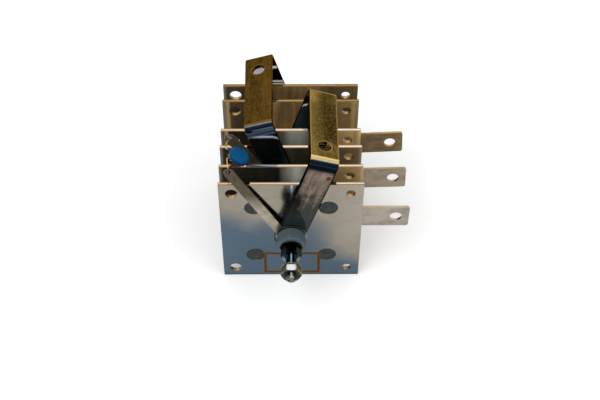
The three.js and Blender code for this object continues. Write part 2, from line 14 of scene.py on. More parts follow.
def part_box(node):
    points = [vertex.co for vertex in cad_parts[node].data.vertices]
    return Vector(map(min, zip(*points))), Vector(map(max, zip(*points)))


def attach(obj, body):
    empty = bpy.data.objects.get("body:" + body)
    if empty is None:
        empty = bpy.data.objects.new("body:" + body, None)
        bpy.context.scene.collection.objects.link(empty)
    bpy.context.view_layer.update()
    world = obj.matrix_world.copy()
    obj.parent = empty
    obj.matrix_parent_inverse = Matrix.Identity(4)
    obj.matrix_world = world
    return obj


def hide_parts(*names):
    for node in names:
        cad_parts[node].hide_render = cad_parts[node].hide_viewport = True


bl_info = {
    "name": "Plate rectifier stack",
    "version": (1, 0, 0),
    "blender": (4, 5, 0),
    "location": "3D View > Sidebar > Rectifier",
    "description": "Builds the fine surfaces of a plate rectifier stack around its packed model",
    "category": "Object",
}

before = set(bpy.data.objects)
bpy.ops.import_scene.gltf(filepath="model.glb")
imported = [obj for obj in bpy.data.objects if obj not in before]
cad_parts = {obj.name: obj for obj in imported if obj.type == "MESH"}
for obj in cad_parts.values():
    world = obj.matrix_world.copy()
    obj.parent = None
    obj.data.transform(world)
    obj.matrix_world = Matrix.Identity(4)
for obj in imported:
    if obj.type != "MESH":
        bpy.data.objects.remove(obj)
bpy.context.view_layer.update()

STACK = "stack"
PLATES = range(1, 7)
REARWARD_PLATES = range(1, 5)
CORNERS = ("top_left", "top_right", "bottom_left", "bottom_right")
ENDS = ("front", "rear")
UP = Vector((0, 0, 1))
TURN = 2 * math.pi
MERGE = 1e-6
INNER_METAL = 0.15

PLATE_LOW, PLATE_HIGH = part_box("cooling_plate_1")
PLATE_SIDE = PLATE_HIGH.x - PLATE_LOW.x
PLATE_THICKNESS = PLATE_HIGH.y - PLATE_LOW.y
STUD_HEIGHT = (PLATE_LOW.z + PLATE_HIGH.z) / 2


def depths(node):
    """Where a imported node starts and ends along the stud."""
    low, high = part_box(node)
    return low.y, high.y


def middle(node):
    """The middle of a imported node's box."""
    low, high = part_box(node)
    return (low + high) / 2


# Properties


def length(name, description, millimetres):
    """A length property, whose default is given in millimetres."""
    return FloatProperty(
        name=name, description=description, default=millimetres / 1000, precision=5, unit="LENGTH"
    )


def angle(name, description, degrees):
    """An angle property, whose default is given in degrees."""
    return FloatProperty(
        name=name, description=description, default=math.radians(degrees), unit="ROTATION"
    )


def amount(name, description, value):
    """A plain share or strength."""
    return FloatProperty(name=name, description=description, default=value, precision=3)


def colour(name, description, red, green, blue):
    """A colour property, whose default is given in 0 to 255 screen values."""
    linear = [
        v / 3294.6 if v <= 10 else ((v / 255 + 0.055) / 1.055) ** 2.4 for v in (red, green, blue)
    ]
    return FloatVectorProperty(
        name=name, description=description, default=linear, size=3, subtype="COLOR", min=0, max=1
    )


class PlateSettings(bpy.types.PropertyGroup):
    edge: length("Edge", "Radius of the sheared edges", 0.3)
    hole_inset: length("Hole inset", "Fixing hole centre from the plate's edges", 9)
    left_hole: length("Left holes", "Diameter of the two left fixing holes", 8.5)
    right_hole: length("Right holes", "Diameter of the two right fixing holes", 6.5)
    diode_hole: length("Diode holes", "Diameter of the holes that the diodes are pressed into", 13.2)
    stud_hole: length("Stud hole", "Diameter of the hole round the insulated stud", 11.2)


class DiodeSettings(bpy.types.PropertyGroup):
    case: length("Case", "Diameter of the plain end of the case", 12.8)
    case_height: length("Case height", "From the closed back to the open end", 7)
    knurl: length("Knurl", "How far the knurl stands out of the case", 0.18)
    knurls: IntProperty(name="Knurls", description="Teeth round the case", default=48)
    seal: length("Seal", "Diameter of the sealed opening", 9.6)
    seal_height: length("Seal height", "How far the seal domes out of the case", 1.8)
    lead: length("Lead", "Diameter of the lead", 1.3)
    solder: length("Solder", "Radius of the solder that ends a lead", 2.1)


class TerminalSettings(bpy.types.PropertyGroup):
    width: length("Width", "Width of an alternating-current tab", 20)
    corner: length("Corner", "Radius of its outer corners", 2)
    hole: length("Hole", "Diameter of its bolt hole", 8.5)
    hole_inset: length("Hole inset", "Bolt hole centre from its outer end", 9.7)
    edge: length("Edge", "Radius of its punched edges", 0.25)
    turn_1: angle("First turn", "Turn of the first tab above level", -0.4)
    turn_2: angle("Second turn", "Turn of the second tab above level", 2.0)
    turn_3: angle("Third turn", "Turn of the third tab above level", 3.3)


class StrapSettings(bpy.types.PropertyGroup):
    width: length("Width", "Width of the bar", 20)
    thickness: length("Thickness", "Thickness of the bar", 3)
    top: length("Top", "Upper face above the stud's axis", 78)
    foot: length("Foot", "How far a leg reaches below the stud's axis", 10.5)
    foot_corner: length("Foot corner", "Radius of a foot's corners", 2.5)
    bend: length("Bend", "Outer radius of the two bends", 5)
    hole: length("Hole", "Diameter of the bolt hole in the bridge", 9)
    hole_inset: length("Hole inset", "Bolt hole centre from the outer face of the nearer leg", 16)
    lean: angle("Lean", "Lean of the strap away from upright", 17)
    edge: length("Edge", "Radius of the bar's edges", 0.45)
    rise: length("Rise", "How much higher the plus strap is at its drilled end", 1.6)
    sag: length("Sag", "How far the middle of the bridge hangs", 0.35)


class HardwareSettings(bpy.types.PropertyGroup):
    stud: length("Stud", "Outer diameter of the thread", 8)
    pitch: length("Pitch", "Pitch of the thread", 1.25)
    tip_chamfer: length("Tip chamfer", "Chamfer of the stud's tips", 1)
    slot_width: length("Slot width", "Width of the driver slot", 1.2)
    slot_depth: length("Slot depth", "Depth of the driver slot", 1.8)
    slot_turn: angle("Slot turn", "Turn of the driver slot above level", 25)
    nut_flats: length("Nut flats", "Width of a nut across its flats", 13)
    nut_bore: length("Nut bore", "Bore of a nut", 8.3)
    mounting_washer: length("Mounting washer", "Diameter of the mounting washers", 14.4)
    lock_washer: length("Lock washer", "Diameter of the lock washers", 16)
    teeth: IntProperty(name="Teeth", description="Teeth of a lock washer", default=18)
    tooth_depth: length("Tooth depth", "Depth of the gaps between the teeth", 1.3)
    tooth_twist: length("Tooth twist", "How far a tooth's edges are twisted out of its plane", 0.35)


class LabelSettings(bpy.types.PropertyGroup):
    left: length("Left", "Left edge of the rating frame", -20)
    right: length("Right", "Right edge of the rating frame", 21.2)
    bottom: length("Bottom", "Lower edge of the rating frame", 2.5)
    top: length("Top", "Upper edge of the rating frame", 26.4)
    border: length("Border", "Width of the printed border", 2)
    ink: length("Ink", "Thickness of the border's ink", 0.06)


class StageSettings(bpy.types.PropertyGroup):
    camera_x: length("Camera X", "Camera place to the right", -1.05)
    camera_y: length("Camera Y", "Camera place along the stud", -485.25)
    camera_z: length("Camera Z", "Camera height above the floor", 637.47)
    pitch: angle("Pitch", "How far the camera looks down", 48.8117)
    yaw: angle("Yaw", "How far the camera looks to the right", 0.8529)
    roll: angle("Roll", "Roll of the camera", 0.45684)
    lens: amount("Lens", "Focal length in millimetres on a 36 mm sensor", 63.89)
    floor: amount("Floor", "Diffuse brightness of the floor", 0.92)
    sky: amount("Sky", "Brightness of the world for diffuse light", 0.66)


class FinishSettings(bpy.types.PropertyGroup):
    # plate_cool and plate_warm: the two ends of a painted reflection on the outer faces, bluish and darker
    # below, warm above and at the right.
    plate_cool: colour("Plate, cool", "Front plate where it is bluest", 76, 96, 112)
    plate_warm: colour("Plate, warm", "Front plate where it is warmest", 144, 137, 125)
    # Gold-brown stain inside the stack, scaled plate by plate as painted light.
    plate_gold: colour("Plate, gold", "Rolled aluminium inside the stack where it is stained", 158, 130, 84)
    # Painted reflected streaks inside the stack.
    plate_light_reflection: colour("Plate, light", "Rolled aluminium inside the stack where it is clean", 244, 244, 228)
    # Painted shade inside the stack.
    plate_shadow: colour("Plate, dark", "Rolled aluminium inside the stack where it is dull", 36, 34, 26)
    # Painted warm highlight on faces that look up: upper edges, the bottoms of holes, tab edges and a spot on
    # the stud.
    warm_highlight: colour("Edge, gold", "Warm film on faces that look up", 214, 172, 108)
    # Painted shade on the bevels below the upper edges.
    bevel_shade: colour("Edge, brown", "Darker film on upper edges", 150, 122, 80)
    # Painted cool reflection: on part of the second plate's upper edge, above the stud on the front plate and
    # in bands on the plus strap's rear leg.
    cool_reflection: colour("Edge, cool", "Blue-white metal on the second plate's upper edge", 214, 222, 240)
    # Painted highlight in the bright core of the upper edges.
    pale_highlight: colour("Edge, pale", "Bright metal on faces that look up", 250, 250, 255)
    strap_leg: colour("Strap leg", "Worn tin on the front leg of the minus strap", 138, 125, 110)
    # Painted shade and reflection low on the minus strap's front leg, near the stud.
    stud_shade: colour("Strap scuff", "Tin near the stud, where it is dullest", 34, 46, 46)
    strap_mirror: colour("Strap mirror", "Bright tin on the other legs", 170, 190, 214)
    # Painted warm sheen on the bridges, which look up; stains are laid over it.
    minus_bridge_sheen: colour("Minus bridge", "Warm film on the bridge of the minus strap", 112, 92, 48)
    plus_bridge_sheen: colour("Plus bridge", "Darker film on the bridge of the plus strap", 84, 62, 26)
    # Painted highlights where the bridges meet their bends.
    minus_bend_highlight: colour("Minus line", "Line where the minus strap's bridge meets its bend", 232, 202, 136)
    plus_bend_highlight: colour("Plus line", "Line where the plus strap's bridge meets its bend", 152, 112, 56)
    # Painted reflection and shade: the blue-grey and dark bands round the bends, also on the lug's edges, the
    # plate's foot and the strap legs.
    blue_reflection: colour("Strap band", "Blue-grey band of a bend", 70, 88, 106)
    dark_shade: colour("Strap dark", "Darkest band of a bend", 10, 18, 28)
    tab: colour("Front tab", "Tinned front alternating-current tab", 160, 151, 138)
    tab_brown: colour("Rear tab", "Tinned rear alternating-current tab", 118, 100, 72)
    copper: colour("Copper", "Tinned copper where it shows through", 206, 158, 92)
    lug: colour("Lug", "Tinned solder lug near its ring", 134, 128, 114)
    lug_dark: colour("Lug, dark", "Tinned solder lug near its head", 96, 88, 70)
    # Painted highlight on a flat that looks up.
    zinc: colour("Zinc", "Bright zinc plating on a flat that looks up", 236, 240, 246)
    # Painted reflection of the floor, low on the fronts of the clamp nuts and lock washers.
    zinc_reflection: colour("Zinc, grey", "Zinc plating on other faces", 122, 124, 134)
    zinc_blue: colour("Zinc, blue", "Zinc plating on the thread", 40, 60, 74)
    # Painted highlight along the top of the thread.
    ridge_highlight: colour("Zinc, light", "Zinc plating along the top of the thread", 156, 198, 220)
    zinc_tip: colour("Zinc, tip", "Zinc plating on the stud's end", 92, 104, 98)
    zinc_dark: colour("Zinc, dark", "Zinc plating where it is dull", 22, 32, 34)
    yellow: colour("Yellow zinc", "Yellow passivated plating", 146, 138, 98)
    diode: colour("Diode", "Nickel skin of the diode backs", 38, 44, 40)
    diode_dark: colour("Diode, dark", "Nickel skin where it is dull", 26, 32, 30)
    seal: colour("Seal", "Epoxy in the diodes' mouths", 36, 34, 32)
    solder: colour("Solder", "Solder on the leads", 176, 178, 180)
    spacer: colour("Spacer", "Plastic of the spacers", 214, 212, 202)
    collar: colour("Collar", "Plastic of the collars", 74, 90, 92)
    sleeve: colour("Sleeve", "Plastic of the sleeve", 206, 198, 178)
    disc: colour("Disc", "Epoxy coating of the suppressor", 0, 78, 122)
    # Darker coating where it runs thick, also used as painted shade on faces that turn away from up.
    disc_dark: colour("Disc, dark", "Coating where it runs thick", 0, 34, 78)
    border: colour("Border", "Ink of the rating frame", 108, 64, 0)
    paint: colour("Paint", "Paint dot on the minus strap", 98, 4, 8)


class RectifierSettings(bpy.types.PropertyGroup):
    plates: PointerProperty(type=PlateSettings)
    diodes: PointerProperty(type=DiodeSettings)
    terminals: PointerProperty(type=TerminalSettings)
    straps: PointerProperty(type=StrapSettings)
    hardware: PointerProperty(type=HardwareSettings)
    label: PointerProperty(type=LabelSettings)
    stage: PointerProperty(type=StageSettings)
    finish: PointerProperty(type=FinishSettings)


def settings():
    """The scene's rectifier settings."""
    return bpy.context.scene.rectifier


# Mesh helpers

HOLE_SEGMENTS = 56
CORNER_SEGMENTS = 5
TURNED_STEPS = 72
SHEET_SHARP = 50


def verts_of(made):
    """The vertices among an operator's results."""
    return [part for part in made["geom"] if isinstance(part, bmesh.types.BMVert)]


def everything(bm):
    """All the vertices, edges and faces of a mesh."""
    return bm.verts[:] + bm.edges[:] + bm.faces[:]


def sharp_edges(bm, degrees):
    """Edges whose faces meet at more than the given angle."""
    return [edge for edge in bm.edges if edge.calc_face_angle(0) > math.radians(degrees)]


def bevel(bm, geom, radius, segments, affect):
    """Rounds edges or corners by a radius."""
    bmesh.ops.bevel(
        bm, geom=geom, offset=radius, offset_type="OFFSET", segments=segments, profile=0.5,
        affect=affect, clamp_overlap=False, material=-1,
    )


def soften(bm, degrees, radius):
    """Rounds the edges sharper than an angle by a small radius."""
    bevel(bm, sharp_edges(bm, degrees), radius, 2, "EDGES")


def turn_about(bm, axis, angle):
    """Turns a whole mesh about an axis through the origin."""
    bmesh.ops.rotate(bm, matrix=Matrix.Rotation(angle, 3, axis), verts=bm.verts[:])


def move(bm, *shift):
    """Moves a whole mesh."""
    bmesh.ops.translate(bm, vec=shift, verts=bm.verts[:])


def cut_across(bm, place, normal, **options):
    """Cuts a mesh with a plane across one of the axes."""
    bmesh.ops.bisect_plane(
        bm, geom=everything(bm), dist=MERGE / 10, plane_co=place, plane_no=normal, **options
    )


def chain(bm, points, closed=False):
    """Vertices and the edges that join them, from (radius, height) points above the X axis."""
    verts = [bm.verts.new((radius, 0, height)) for radius, height in points]
    edges = [bm.edges.new(pair) for pair in zip(verts, verts[1:])]
    if closed:
        edges.append(bm.edges.new((verts[-1], verts[0])))
    return verts + edges


def outline(bm, corners):
    """A closed loop of edges in the XY plane from (x, y, radius) corners."""
    verts = [bm.verts.new((x, y, 0)) for x, y, _ in corners]
    bm.faces.new(verts)
    for vert, (_, _, radius) in zip(verts, corners):
        if radius:
            bevel(bm, [vert], radius, CORNER_SEGMENTS, "VERTICES")
    bmesh.ops.delete(bm, geom=bm.faces[:], context="FACES_ONLY")


def rectangle(left, bottom, right, top, radius=0.0):
    """Corners of a rectangle for outline()."""
    return [(left, bottom, radius), (right, bottom, radius), (right, top, radius), (left, top, radius)]


def fill_and_thicken(bm, thickness):
    """Fills the loops of edges as a sheet with holes, and thickens it along +Z."""
    bmesh.ops.triangle_fill(bm, use_beauty=True, use_dissolve=False, edges=bm.edges[:])
    made = bmesh.ops.extrude_face_region(bm, geom=bm.faces[:])
    bmesh.ops.translate(bm, vec=(0, 0, thickness), verts=verts_of(made))
    bmesh.ops.recalc_face_normals(bm, faces=bm.faces[:])


def sheet(corners, holes, thickness, edge):
    """A flat sheet in the XY plane from corners and (x, y, diameter) holes, with rounded rims."""
    bm = bmesh.new()
    outline(bm, corners)
    for x, y, diameter in holes:
        place = Matrix.Translation((x, y, 0))
        bmesh.ops.create_circle(bm, cap_ends=False, segments=HOLE_SEGMENTS, radius=diameter / 2, matrix=place)
    fill_and_thicken(bm, thickness)
    soften(bm, SHEET_SHARP, edge)
    return bm


def stand(bm, rear, turn=0.0):
    """Stands a sheet up across the stud, its base face at y = rear, turned about the stud's axis."""
    turn_about(bm, "X", math.pi / 2)
    turn_about(bm, "Y", turn)
    move(bm, 0, rear, STUD_HEIGHT)


def turned(profile, steps=TURNED_STEPS, closed=False):
    """A body turned about the Z axis from (radius, height) points."""
    bm = bmesh.new()
    geom = chain(bm, profile, closed)
    bmesh.ops.spin(
        bm, geom=geom, cent=(0, 0, 0), axis=UP, angle=TURN, steps=steps, use_merge=True, use_duplicate=False
    )
    bmesh.ops.remove_doubles(bm, verts=bm.verts[:], dist=MERGE)
    bmesh.ops.recalc_face_normals(bm, faces=bm.faces[:])
    return bm


def tube_profile(outer, inner, height, edge):
    """A tube's section for turned(), with chamfered rims."""
    step = edge * 0.3
    half = edge / 2
    return [
        (inner + half, 0), (outer - edge, 0), (outer - step, step), (outer, edge), (outer, height - edge),
        (outer - step, height - step), (outer - edge, height), (inner + half, height),
        (inner, height - half), (inner, half),
    ]


def lay_along(bm, x, start, z, backwards=False):
    """Lays a body turned about Z along the stud: its base at y = start, growing towards +Y."""
    turn_about(bm, "X", math.pi / 2 if backwards else -math.pi / 2)
    move(bm, x, start, z)


def thickness(node):
    """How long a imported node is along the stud."""
    front, rear = depths(node)
    return rear - front


def tube(node, bore, edge, radius=None):
    """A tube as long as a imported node, and as wide unless a radius is given."""
    low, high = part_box(node)
    return turned(tube_profile(radius or (high.x - low.x) / 2, bore, high.y - low.y, edge), closed=True)


def merged_copy(node):
    """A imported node's mesh with its loose triangles joined."""
    bm = bmesh.new()
    bm.from_mesh(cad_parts[node].data)
    bmesh.ops.remove_doubles(bm, verts=bm.verts[:], dist=MERGE)
    return bm


def new_mesh(name, bm):
    """Puts a finished bmesh into a new mesh."""
    mesh = bpy.data.meshes.new(name)
    bm.to_mesh(mesh)
    bm.free()
    return mesh


def new_object(name, data):
    """A new object in the scene."""
    made = bpy.data.objects.new(name, data)
    bpy.context.scene.collection.objects.link(made)
    return made


def join_into(bm, other):
    """Adds another mesh to this one."""
    scrap = new_mesh("scrap", other)
    bm.from_mesh(scrap)
    bpy.data.meshes.remove(scrap)


def add_piece(name, bm, material, replaced=(), body=STACK, crease=32, even=True):
    """Makes an object of a finished mesh, gives it its finish and puts it on its body."""
    mesh = new_mesh(name, bm)
    mesh.shade_smooth()
    mesh.set_sharp_from_angle(angle=math.radians(crease))
    mesh.materials.append(material)
    piece = new_object(name, mesh)
    if even:
        piece.modifiers.new("Even normals", "WEIGHTED_NORMAL").keep_sharp = True
    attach(piece, body)
    if replaced:
        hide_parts(*replaced)
    return piece


def add_turned(node, suffix, bm, material, body=STACK):
    """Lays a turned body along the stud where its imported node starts, and adds it as a piece."""
    lay_along(bm, 0, depths(node)[0], STUD_HEIGHT)
    add_piece(f"{node}_{suffix}", bm, material, [node], body=body)


def apply_modifiers(piece):
    """Puts a piece's modifiers into its mesh."""
    graph = bpy.context.evaluated_depsgraph_get()
    made = bpy.data.meshes.new_from_object(piece.evaluated_get(graph))
    piece.modifiers.clear()
    piece.data = made
    made.shade_smooth()


# Finishes


class Nodes:
    """Adds and links the nodes of a tree."""

    def __init__(self, tree):
        self.tree = tree

    def join(self, value, socket):
        """Links an output, or sets a plain value, on a socket."""
        if isinstance(value, bpy.types.NodeSocket):
            self.tree.links.new(value, socket)
        elif socket.type == "RGBA":
            socket.default_value = (*value, 1)
        else:
            socket.default_value = value

    def node(self, kind, values, output, **settings):
        """Adds a node, sets it, joins values to its inputs and returns an output."""
        node = self.tree.nodes.new(f"ShaderNode{kind}")
        for name, value in settings.items():
            setattr(node, name, value)
        for name, value in values.items():
            self.join(value, node.inputs[name])
        return node.outputs[output]

    def spread(self, value, low, high, start=0.0, end=1.0):
        """Maps low..high to start..end, held at both ends."""
        values = {"Value": value, "From Min": low, "From Max": high, "To Min": start, "To Max": end}
        return self.node("MapRange", values, "Result")

    def sum(self, operation, first, second):
        """Arithmetic on two values."""
        return self.node("Math", {0: first, 1: second}, "Value", operation=operation)

    def seen_by(self):
        """1 where a ray comes from the camera, a reflection or a clear surface."""
        path = self.tree.nodes.new("ShaderNodeLightPath").outputs
        seen = self.sum("MAXIMUM", path["Is Camera Ray"], path["Is Glossy Ray"])
        return self.sum("MAXIMUM", seen, path["Is Transmission Ray"])


class Finish(Nodes):
    """A principled material and its nodes: x, y and z give the place, and side, back and up the normal."""

    SHARES = {"metallic": "Metallic", "roughness": "Roughness", "specular": "Specular IOR Level"}

    def __init__(self, name, **shares):
        self.material = bpy.data.materials.new(name)
        self.material.use_nodes = True
        super().__init__(self.material.node_tree)
        self.inputs = self.tree.nodes["Principled BSDF"].inputs
        for share, value in shares.items():
            self.inputs[self.SHARES[share]].default_value = value
        place = self.tree.nodes.new("ShaderNodeTexCoord").outputs
        self.spot = place["Object"]
        self.x, self.y, self.z = self.parts(self.spot)
        self.side, self.back, self.up = self.parts(place["Normal"])

    def parts(self, vector):
        """The three coordinates of a vector."""
        node = self.tree.nodes.new("ShaderNodeSeparateXYZ")
        self.join(vector, node.inputs["Vector"])
        return node.outputs

    def where(self, stretch=(1, 1, 1), turn=0.0, shift=(0, 0, 0)):
        """Object coordinates, shifted, turned about Y and stretched."""
        values = {"Vector": self.spot, "Location": shift, "Rotation": (0, turn, 0)}
        turned_to = self.node("Mapping", values, "Vector")
        return self.node("Mapping", {"Vector": turned_to, "Scale": stretch}, "Vector")

    def noise(self, size, vector=None, detail=4.0, rough=0.55, distortion=0.0):
        """Noise whose features are about the given size in metres."""
        values = {"Scale": 1 / size, "Detail": detail, "Roughness": rough, "Distortion": distortion}
        values["Vector"] = vector or self.spot
        return self.node("TexNoise", values, "Fac")

    def near(self, value, place, core, reach):
        """1 where a value is within core of a place, falling to 0 at reach."""
        away = self.sum("ABSOLUTE", self.sum("SUBTRACT", value, place), 0)
        return self.spread(away, core, reach, 1, 0)

    def both(self, first, *others):
        """The product of some shares."""
        for other in others:
            first = self.sum("MULTIPLY", first, other)
        return first

    def mix(self, share, first, second):
        """A blend of two colours."""
        node = self.tree.nodes.new("ShaderNodeMix")
        node.data_type = "RGBA"
        for name, value in (("Factor", share), ("A", first), ("B", second)):
            self.join(value, node.inputs[name])
        return next(socket for socket in node.outputs if socket.type == "RGBA")

    def layers(self, face, *rows):
        """Lays colours over a face, from (colour, share) or (colour, value, low, high, ...) rows."""
        for colour, value, *span in rows:
            face = self.mix(self.spread(value, *span) if span else value, face, colour)
        return face

    def ramp(self, value, stops):
        """Colours along a value, from (position, colour) stops."""
        node = self.tree.nodes.new("ShaderNodeValToRGB")
        elements = node.color_ramp.elements
        while len(elements) < len(stops):
            elements.new(0.5)
        for element, (position, colour) in zip(elements, stops):
            element.position = position
            element.color = (*colour, 1)
        self.join(value, node.inputs["Fac"])
        return node.outputs["Color"]

    def bump(self, height, strength, distance, before=None):
        """A bump from a height, on top of an earlier one."""
        values = {"Strength": strength, "Distance": distance, "Height": height}
        if before:
            values["Normal"] = before
        normal = self.node("Bump", values, "Normal")
        self.join(normal, self.inputs["Normal"])
        return normal

    def made(self, colour=None, roughness=None, metallic=None):
        """The material, with what drives its colour, roughness and metal."""
        for name, value in (("Base Color", colour), ("Roughness", roughness), ("Metallic", metallic)):
            if value is not None:
                self.join(value, self.inputs[name])
        return self.material


def shade(base, factor):
    """A colour made darker or lighter."""
    return tuple(min(1.0, channel * factor) for channel in base)


def blend(first, second, share):
    """A colour between two others."""
    return tuple(a + (b - a) * share for a, b in zip(first, second))


# The plate whose upper edge has a painted cool reflection.
COOL_EDGE = 2
# Painted reflected streaks inside the stack: where each lies across its plate.
REFLECTED_STREAKS = {2: 0.004, 4: 0.002}
# Stain inside the stack scaled plate by plate as painted light, and how far each middle goes from painted shade
# towards it.
STAIN_AND_SHEEN = {1: 1.0, 2: 1.6, 3: 0.6, 4: 2.2, 5: 0.95, 6: 0.36}
MIDDLE_SHEEN_SHARE = {1: 0.2, 2: 0.0, 3: 0.15, 4: 0.1, 5: 1.6, 6: 3.0}
STRIPED_PLATES = (4, 5)
# Painted shade at the left of each inner face, by plate.
LEFT_TONE = {1: 1.3, 2: 1.0, 3: 1.3, 4: 0.5, 5: 1.3, 6: 1.3}
# How bright the painted highlight on each plate's upper edge is.
EDGE_SHINE = {1: 0.6, 2: 0.72, 3: 1.0, 4: 0.95, 5: 0.1, 6: 0.2}
DULL_EDGE = 0.5


def plate_outside(finish, look, cloud, smudge):
    """The outer faces: a painted reflection from bluish to warm, with painted shade and a painted reflection of
    the stud near the stud.
    """
    # Painted reflection: bluish below and at the left, warm above and at the right.
    across = finish.sum("ADD", finish.both(finish.x, 0.52), finish.z)
    reflection_slope = finish.sum("ADD", finish.spread(across, 0.03, 0.056), finish.spread(cloud, 0.3, 0.7, -0.15, 0.15))
    aside = finish.sum("POWER", finish.x, 2)
    above = finish.sum("POWER", finish.sum("SUBTRACT", finish.z, STUD_HEIGHT - 0.006), 2)
    round_stud = finish.sum("ADD", aside, above)
    # Painted reflection: lighter at the upper right.
    right = finish.both(finish.spread(finish.x, 0.03, 0.048), finish.spread(finish.z, 0.03, 0.05))
    # A painted reflection of the stud: a dark band above it.
    stud_reflection = finish.both(finish.near(finish.x, 0.0011, 0.0055, 0.0075), finish.spread(finish.z, 0.06, 0.07))
    # A painted reflection of the stud's bright ridge: a pale line above it.
    reflected = finish.both(finish.near(finish.x, 0.0004, 0.0003, 0.0011), finish.spread(finish.z, 0.084, 0.09))
    return finish.layers(
        look.plate_cool,
        (look.plate_warm, reflection_slope, 0.1, 0.9),
        # Painted shade round the stud.
        (shade(look.plate_cool, 0.9), round_stud, 0.014**2, 0.033**2, 0.85, 0),
        (shade(look.plate_warm, 1.4), right, 0, 1, 0, 0.5),
        (shade(look.plate_cool, 0.7), smudge, 0.5, 0.72, 0, 0.2),
        (shade(look.plate_cool, 0.4), stud_reflection, 0, 1, 0, 0.75),
        (look.cool_reflection, reflected, 0, 1, 0, 0.6),
        # Painted shade along the foot of the plate.
        (look.dark_shade, finish.z, 0.0006, 0.0016, 0.85, 0),
    )


def plate_inside(finish, look, number, streak, smudge):
    """The faces inside the stack: a gold-brown stain at the right, scaled plate by plate as painted light,
    painted shade at the left and on faces that look back, and painted reflected streaks.
    """
    half = PLATE_SIDE / 2
    # The stain, scaled plate by plate as painted light, and a middle tone between painted shade and it.
    stain = shade(look.plate_gold, STAIN_AND_SHEEN[number])
    tone = blend(look.plate_shadow, stain, MIDDLE_SHEEN_SHARE[number])
    rows = [(shade(tone, 1.5), streak, 0.38, 0.62)]
    # Painted reflected streak.
    if number in REFLECTED_STREAKS:
        light = finish.near(finish.x, REFLECTED_STREAKS[number], 0.001, 0.0125)
        rows.append((look.plate_light_reflection, finish.both(light, finish.spread(streak, 0.35, 0.5, 0.7, 1))))
    # Painted shade towards the left.
    rows.append((shade(look.plate_shadow, LEFT_TONE[number]), finish.x, -0.03, -0.014, 0.85, 0))
    rows.append((stain, finish.x, 0.018, 0.03, 0, 0.9))
    if number in STRIPED_PLATES:
        stripe = finish.near(finish.sum("ABSOLUTE", finish.x, 0), half - 0.004, 0.0006, 0.002)
        rows.append((shade(look.plate_gold, 1.5), stripe))
    return finish.layers(
        shade(tone, 0.6),
        *rows,
        # Painted light on a strip along the left edge.
        (shade(look.plate_warm, 0.6), finish.x, 0.001 - half, 0.003 - half, 0.7, 0),
        (look.plate_shadow, smudge, 0.55, 0.75, 0, 0.3),
        # Painted shade on faces that look back.
        (look.plate_shadow, finish.back, 0.3, 0.8, 0, 0.8),
    )


def plate_edge(finish, look, number, streak):
    """The upper edge: a painted highlight, its bright core between two darker lips."""
    shine = EDGE_SHINE[number]
    # Painted highlight, paler towards the right.
    glint = finish.spread(finish.x, -0.045, 0.03, shine * 0.35, shine)
    glint = finish.both(glint, finish.spread(streak, 0.42, 0.6, 1, 0.7))
    core = finish.layers(look.warm_highlight, (look.pale_highlight, glint))
    # Painted cool reflection on part of this plate's edge.
    if number == COOL_EDGE:
        cool = finish.spread(finish.x, -0.034, -0.024)
        cool = finish.both(cool, finish.spread(finish.x, -0.016, -0.004, 1, 0))
        core = finish.layers(core, (look.cool_reflection, cool))
    if shine < DULL_EDGE:
        core = finish.layers(shade(look.warm_highlight, 0.75), (shade(look.warm_highlight, 0.45), streak, 0.4, 0.6))
    # Darker lips of the painted highlight.
    sheen = shade(look.warm_highlight, 0.2 + 0.35 * shine)
    lip = finish.layers(sheen, (shade(sheen, 1.3), streak, 0.4, 0.6))
    centre = finish.near(finish.y, middle(f"cooling_plate_{number}").y, 0.0004, 0.00085)
    flat_top = finish.layers(lip, (core, centre))
    # Painted shade on the bevels, the painted highlight on the flat top.
    return finish.layers(shade(look.bevel_shade, 0.35), (flat_top, finish.up, 0.93, 0.995))


def plate_finish(number):
    """Rolled aluminium: a painted reflection from bluish to warm outside, stain with painted light and shade
    inside, and painted golden highlights on the upper edges and the bottoms of the holes.
    """
    look = settings().finish
    shift = (0.37 * number, 0.21 * number, 0.11 * number)
    finish = Finish(f"Rolled aluminium {number}", metallic=1.0)
    grain = finish.noise(0.0004, finish.where((0.03, 1, 1), shift=shift), detail=2)
    cloud = finish.noise(0.028, finish.where(shift=shift), detail=3, distortion=0.4)
    smudge = finish.noise(0.011, finish.where((0.7, 1, 1.2), shift=shift), detail=5, rough=0.6)
    streak = finish.noise(0.009, finish.where((1, 0.1, 0.12), shift=shift), detail=3)

    last_rear = depths("cooling_plate_6")[1]
    first_front = finish.spread(finish.y, PLATE_LOW.y + PLATE_THICKNESS / 3, PLATE_HIGH.y, 1, 0)
    rear_side = finish.spread(finish.y, last_rear - PLATE_THICKNESS, last_rear - PLATE_THICKNESS / 3)
    outside = finish.sum("MAXIMUM", first_front, rear_side)
    upward = finish.spread(finish.up, 0.3, 0.6)
    # Painted highlight on the bottoms of the holes, brightest where they look straight up.
    wall = finish.both(upward, finish.spread(finish.z, PLATE_HIGH.z - 0.003, PLATE_HIGH.z - 0.002, 1, 0))
    lit_wall = finish.layers(shade(look.warm_highlight, 0.3), (look.warm_highlight, finish.up, 0.8, 0.96))
    upper = finish.layers(plate_edge(finish, look, number, streak), (lit_wall, wall))
    face = finish.layers(
        plate_inside(finish, look, number, streak, smudge),
        (plate_outside(finish, look, cloud, smudge), outside),
        (look.plate_warm, grain, 0.3, 0.7, 0, 0.1),
        (upper, upward),
    )
    metal = finish.both(finish.sum("MAXIMUM", outside, upward), finish.spread(wall, 0, 1, 1, 0.25))
    elsewhere = finish.spread(upward, 0, 1, 1, 0)
    dull = finish.both(finish.spread(smudge, 0.45, 0.7, 0, 0.08), elsewhere)
    rough = finish.sum("ADD", finish.spread(upward, 0, 1, 0.12, 0.06), dull)
    finish.bump(finish.both(grain, elsewhere), 0.2, 0.00004)
    return finish.made(face, rough, finish.spread(metal, 0, 1, INNER_METAL, 1))


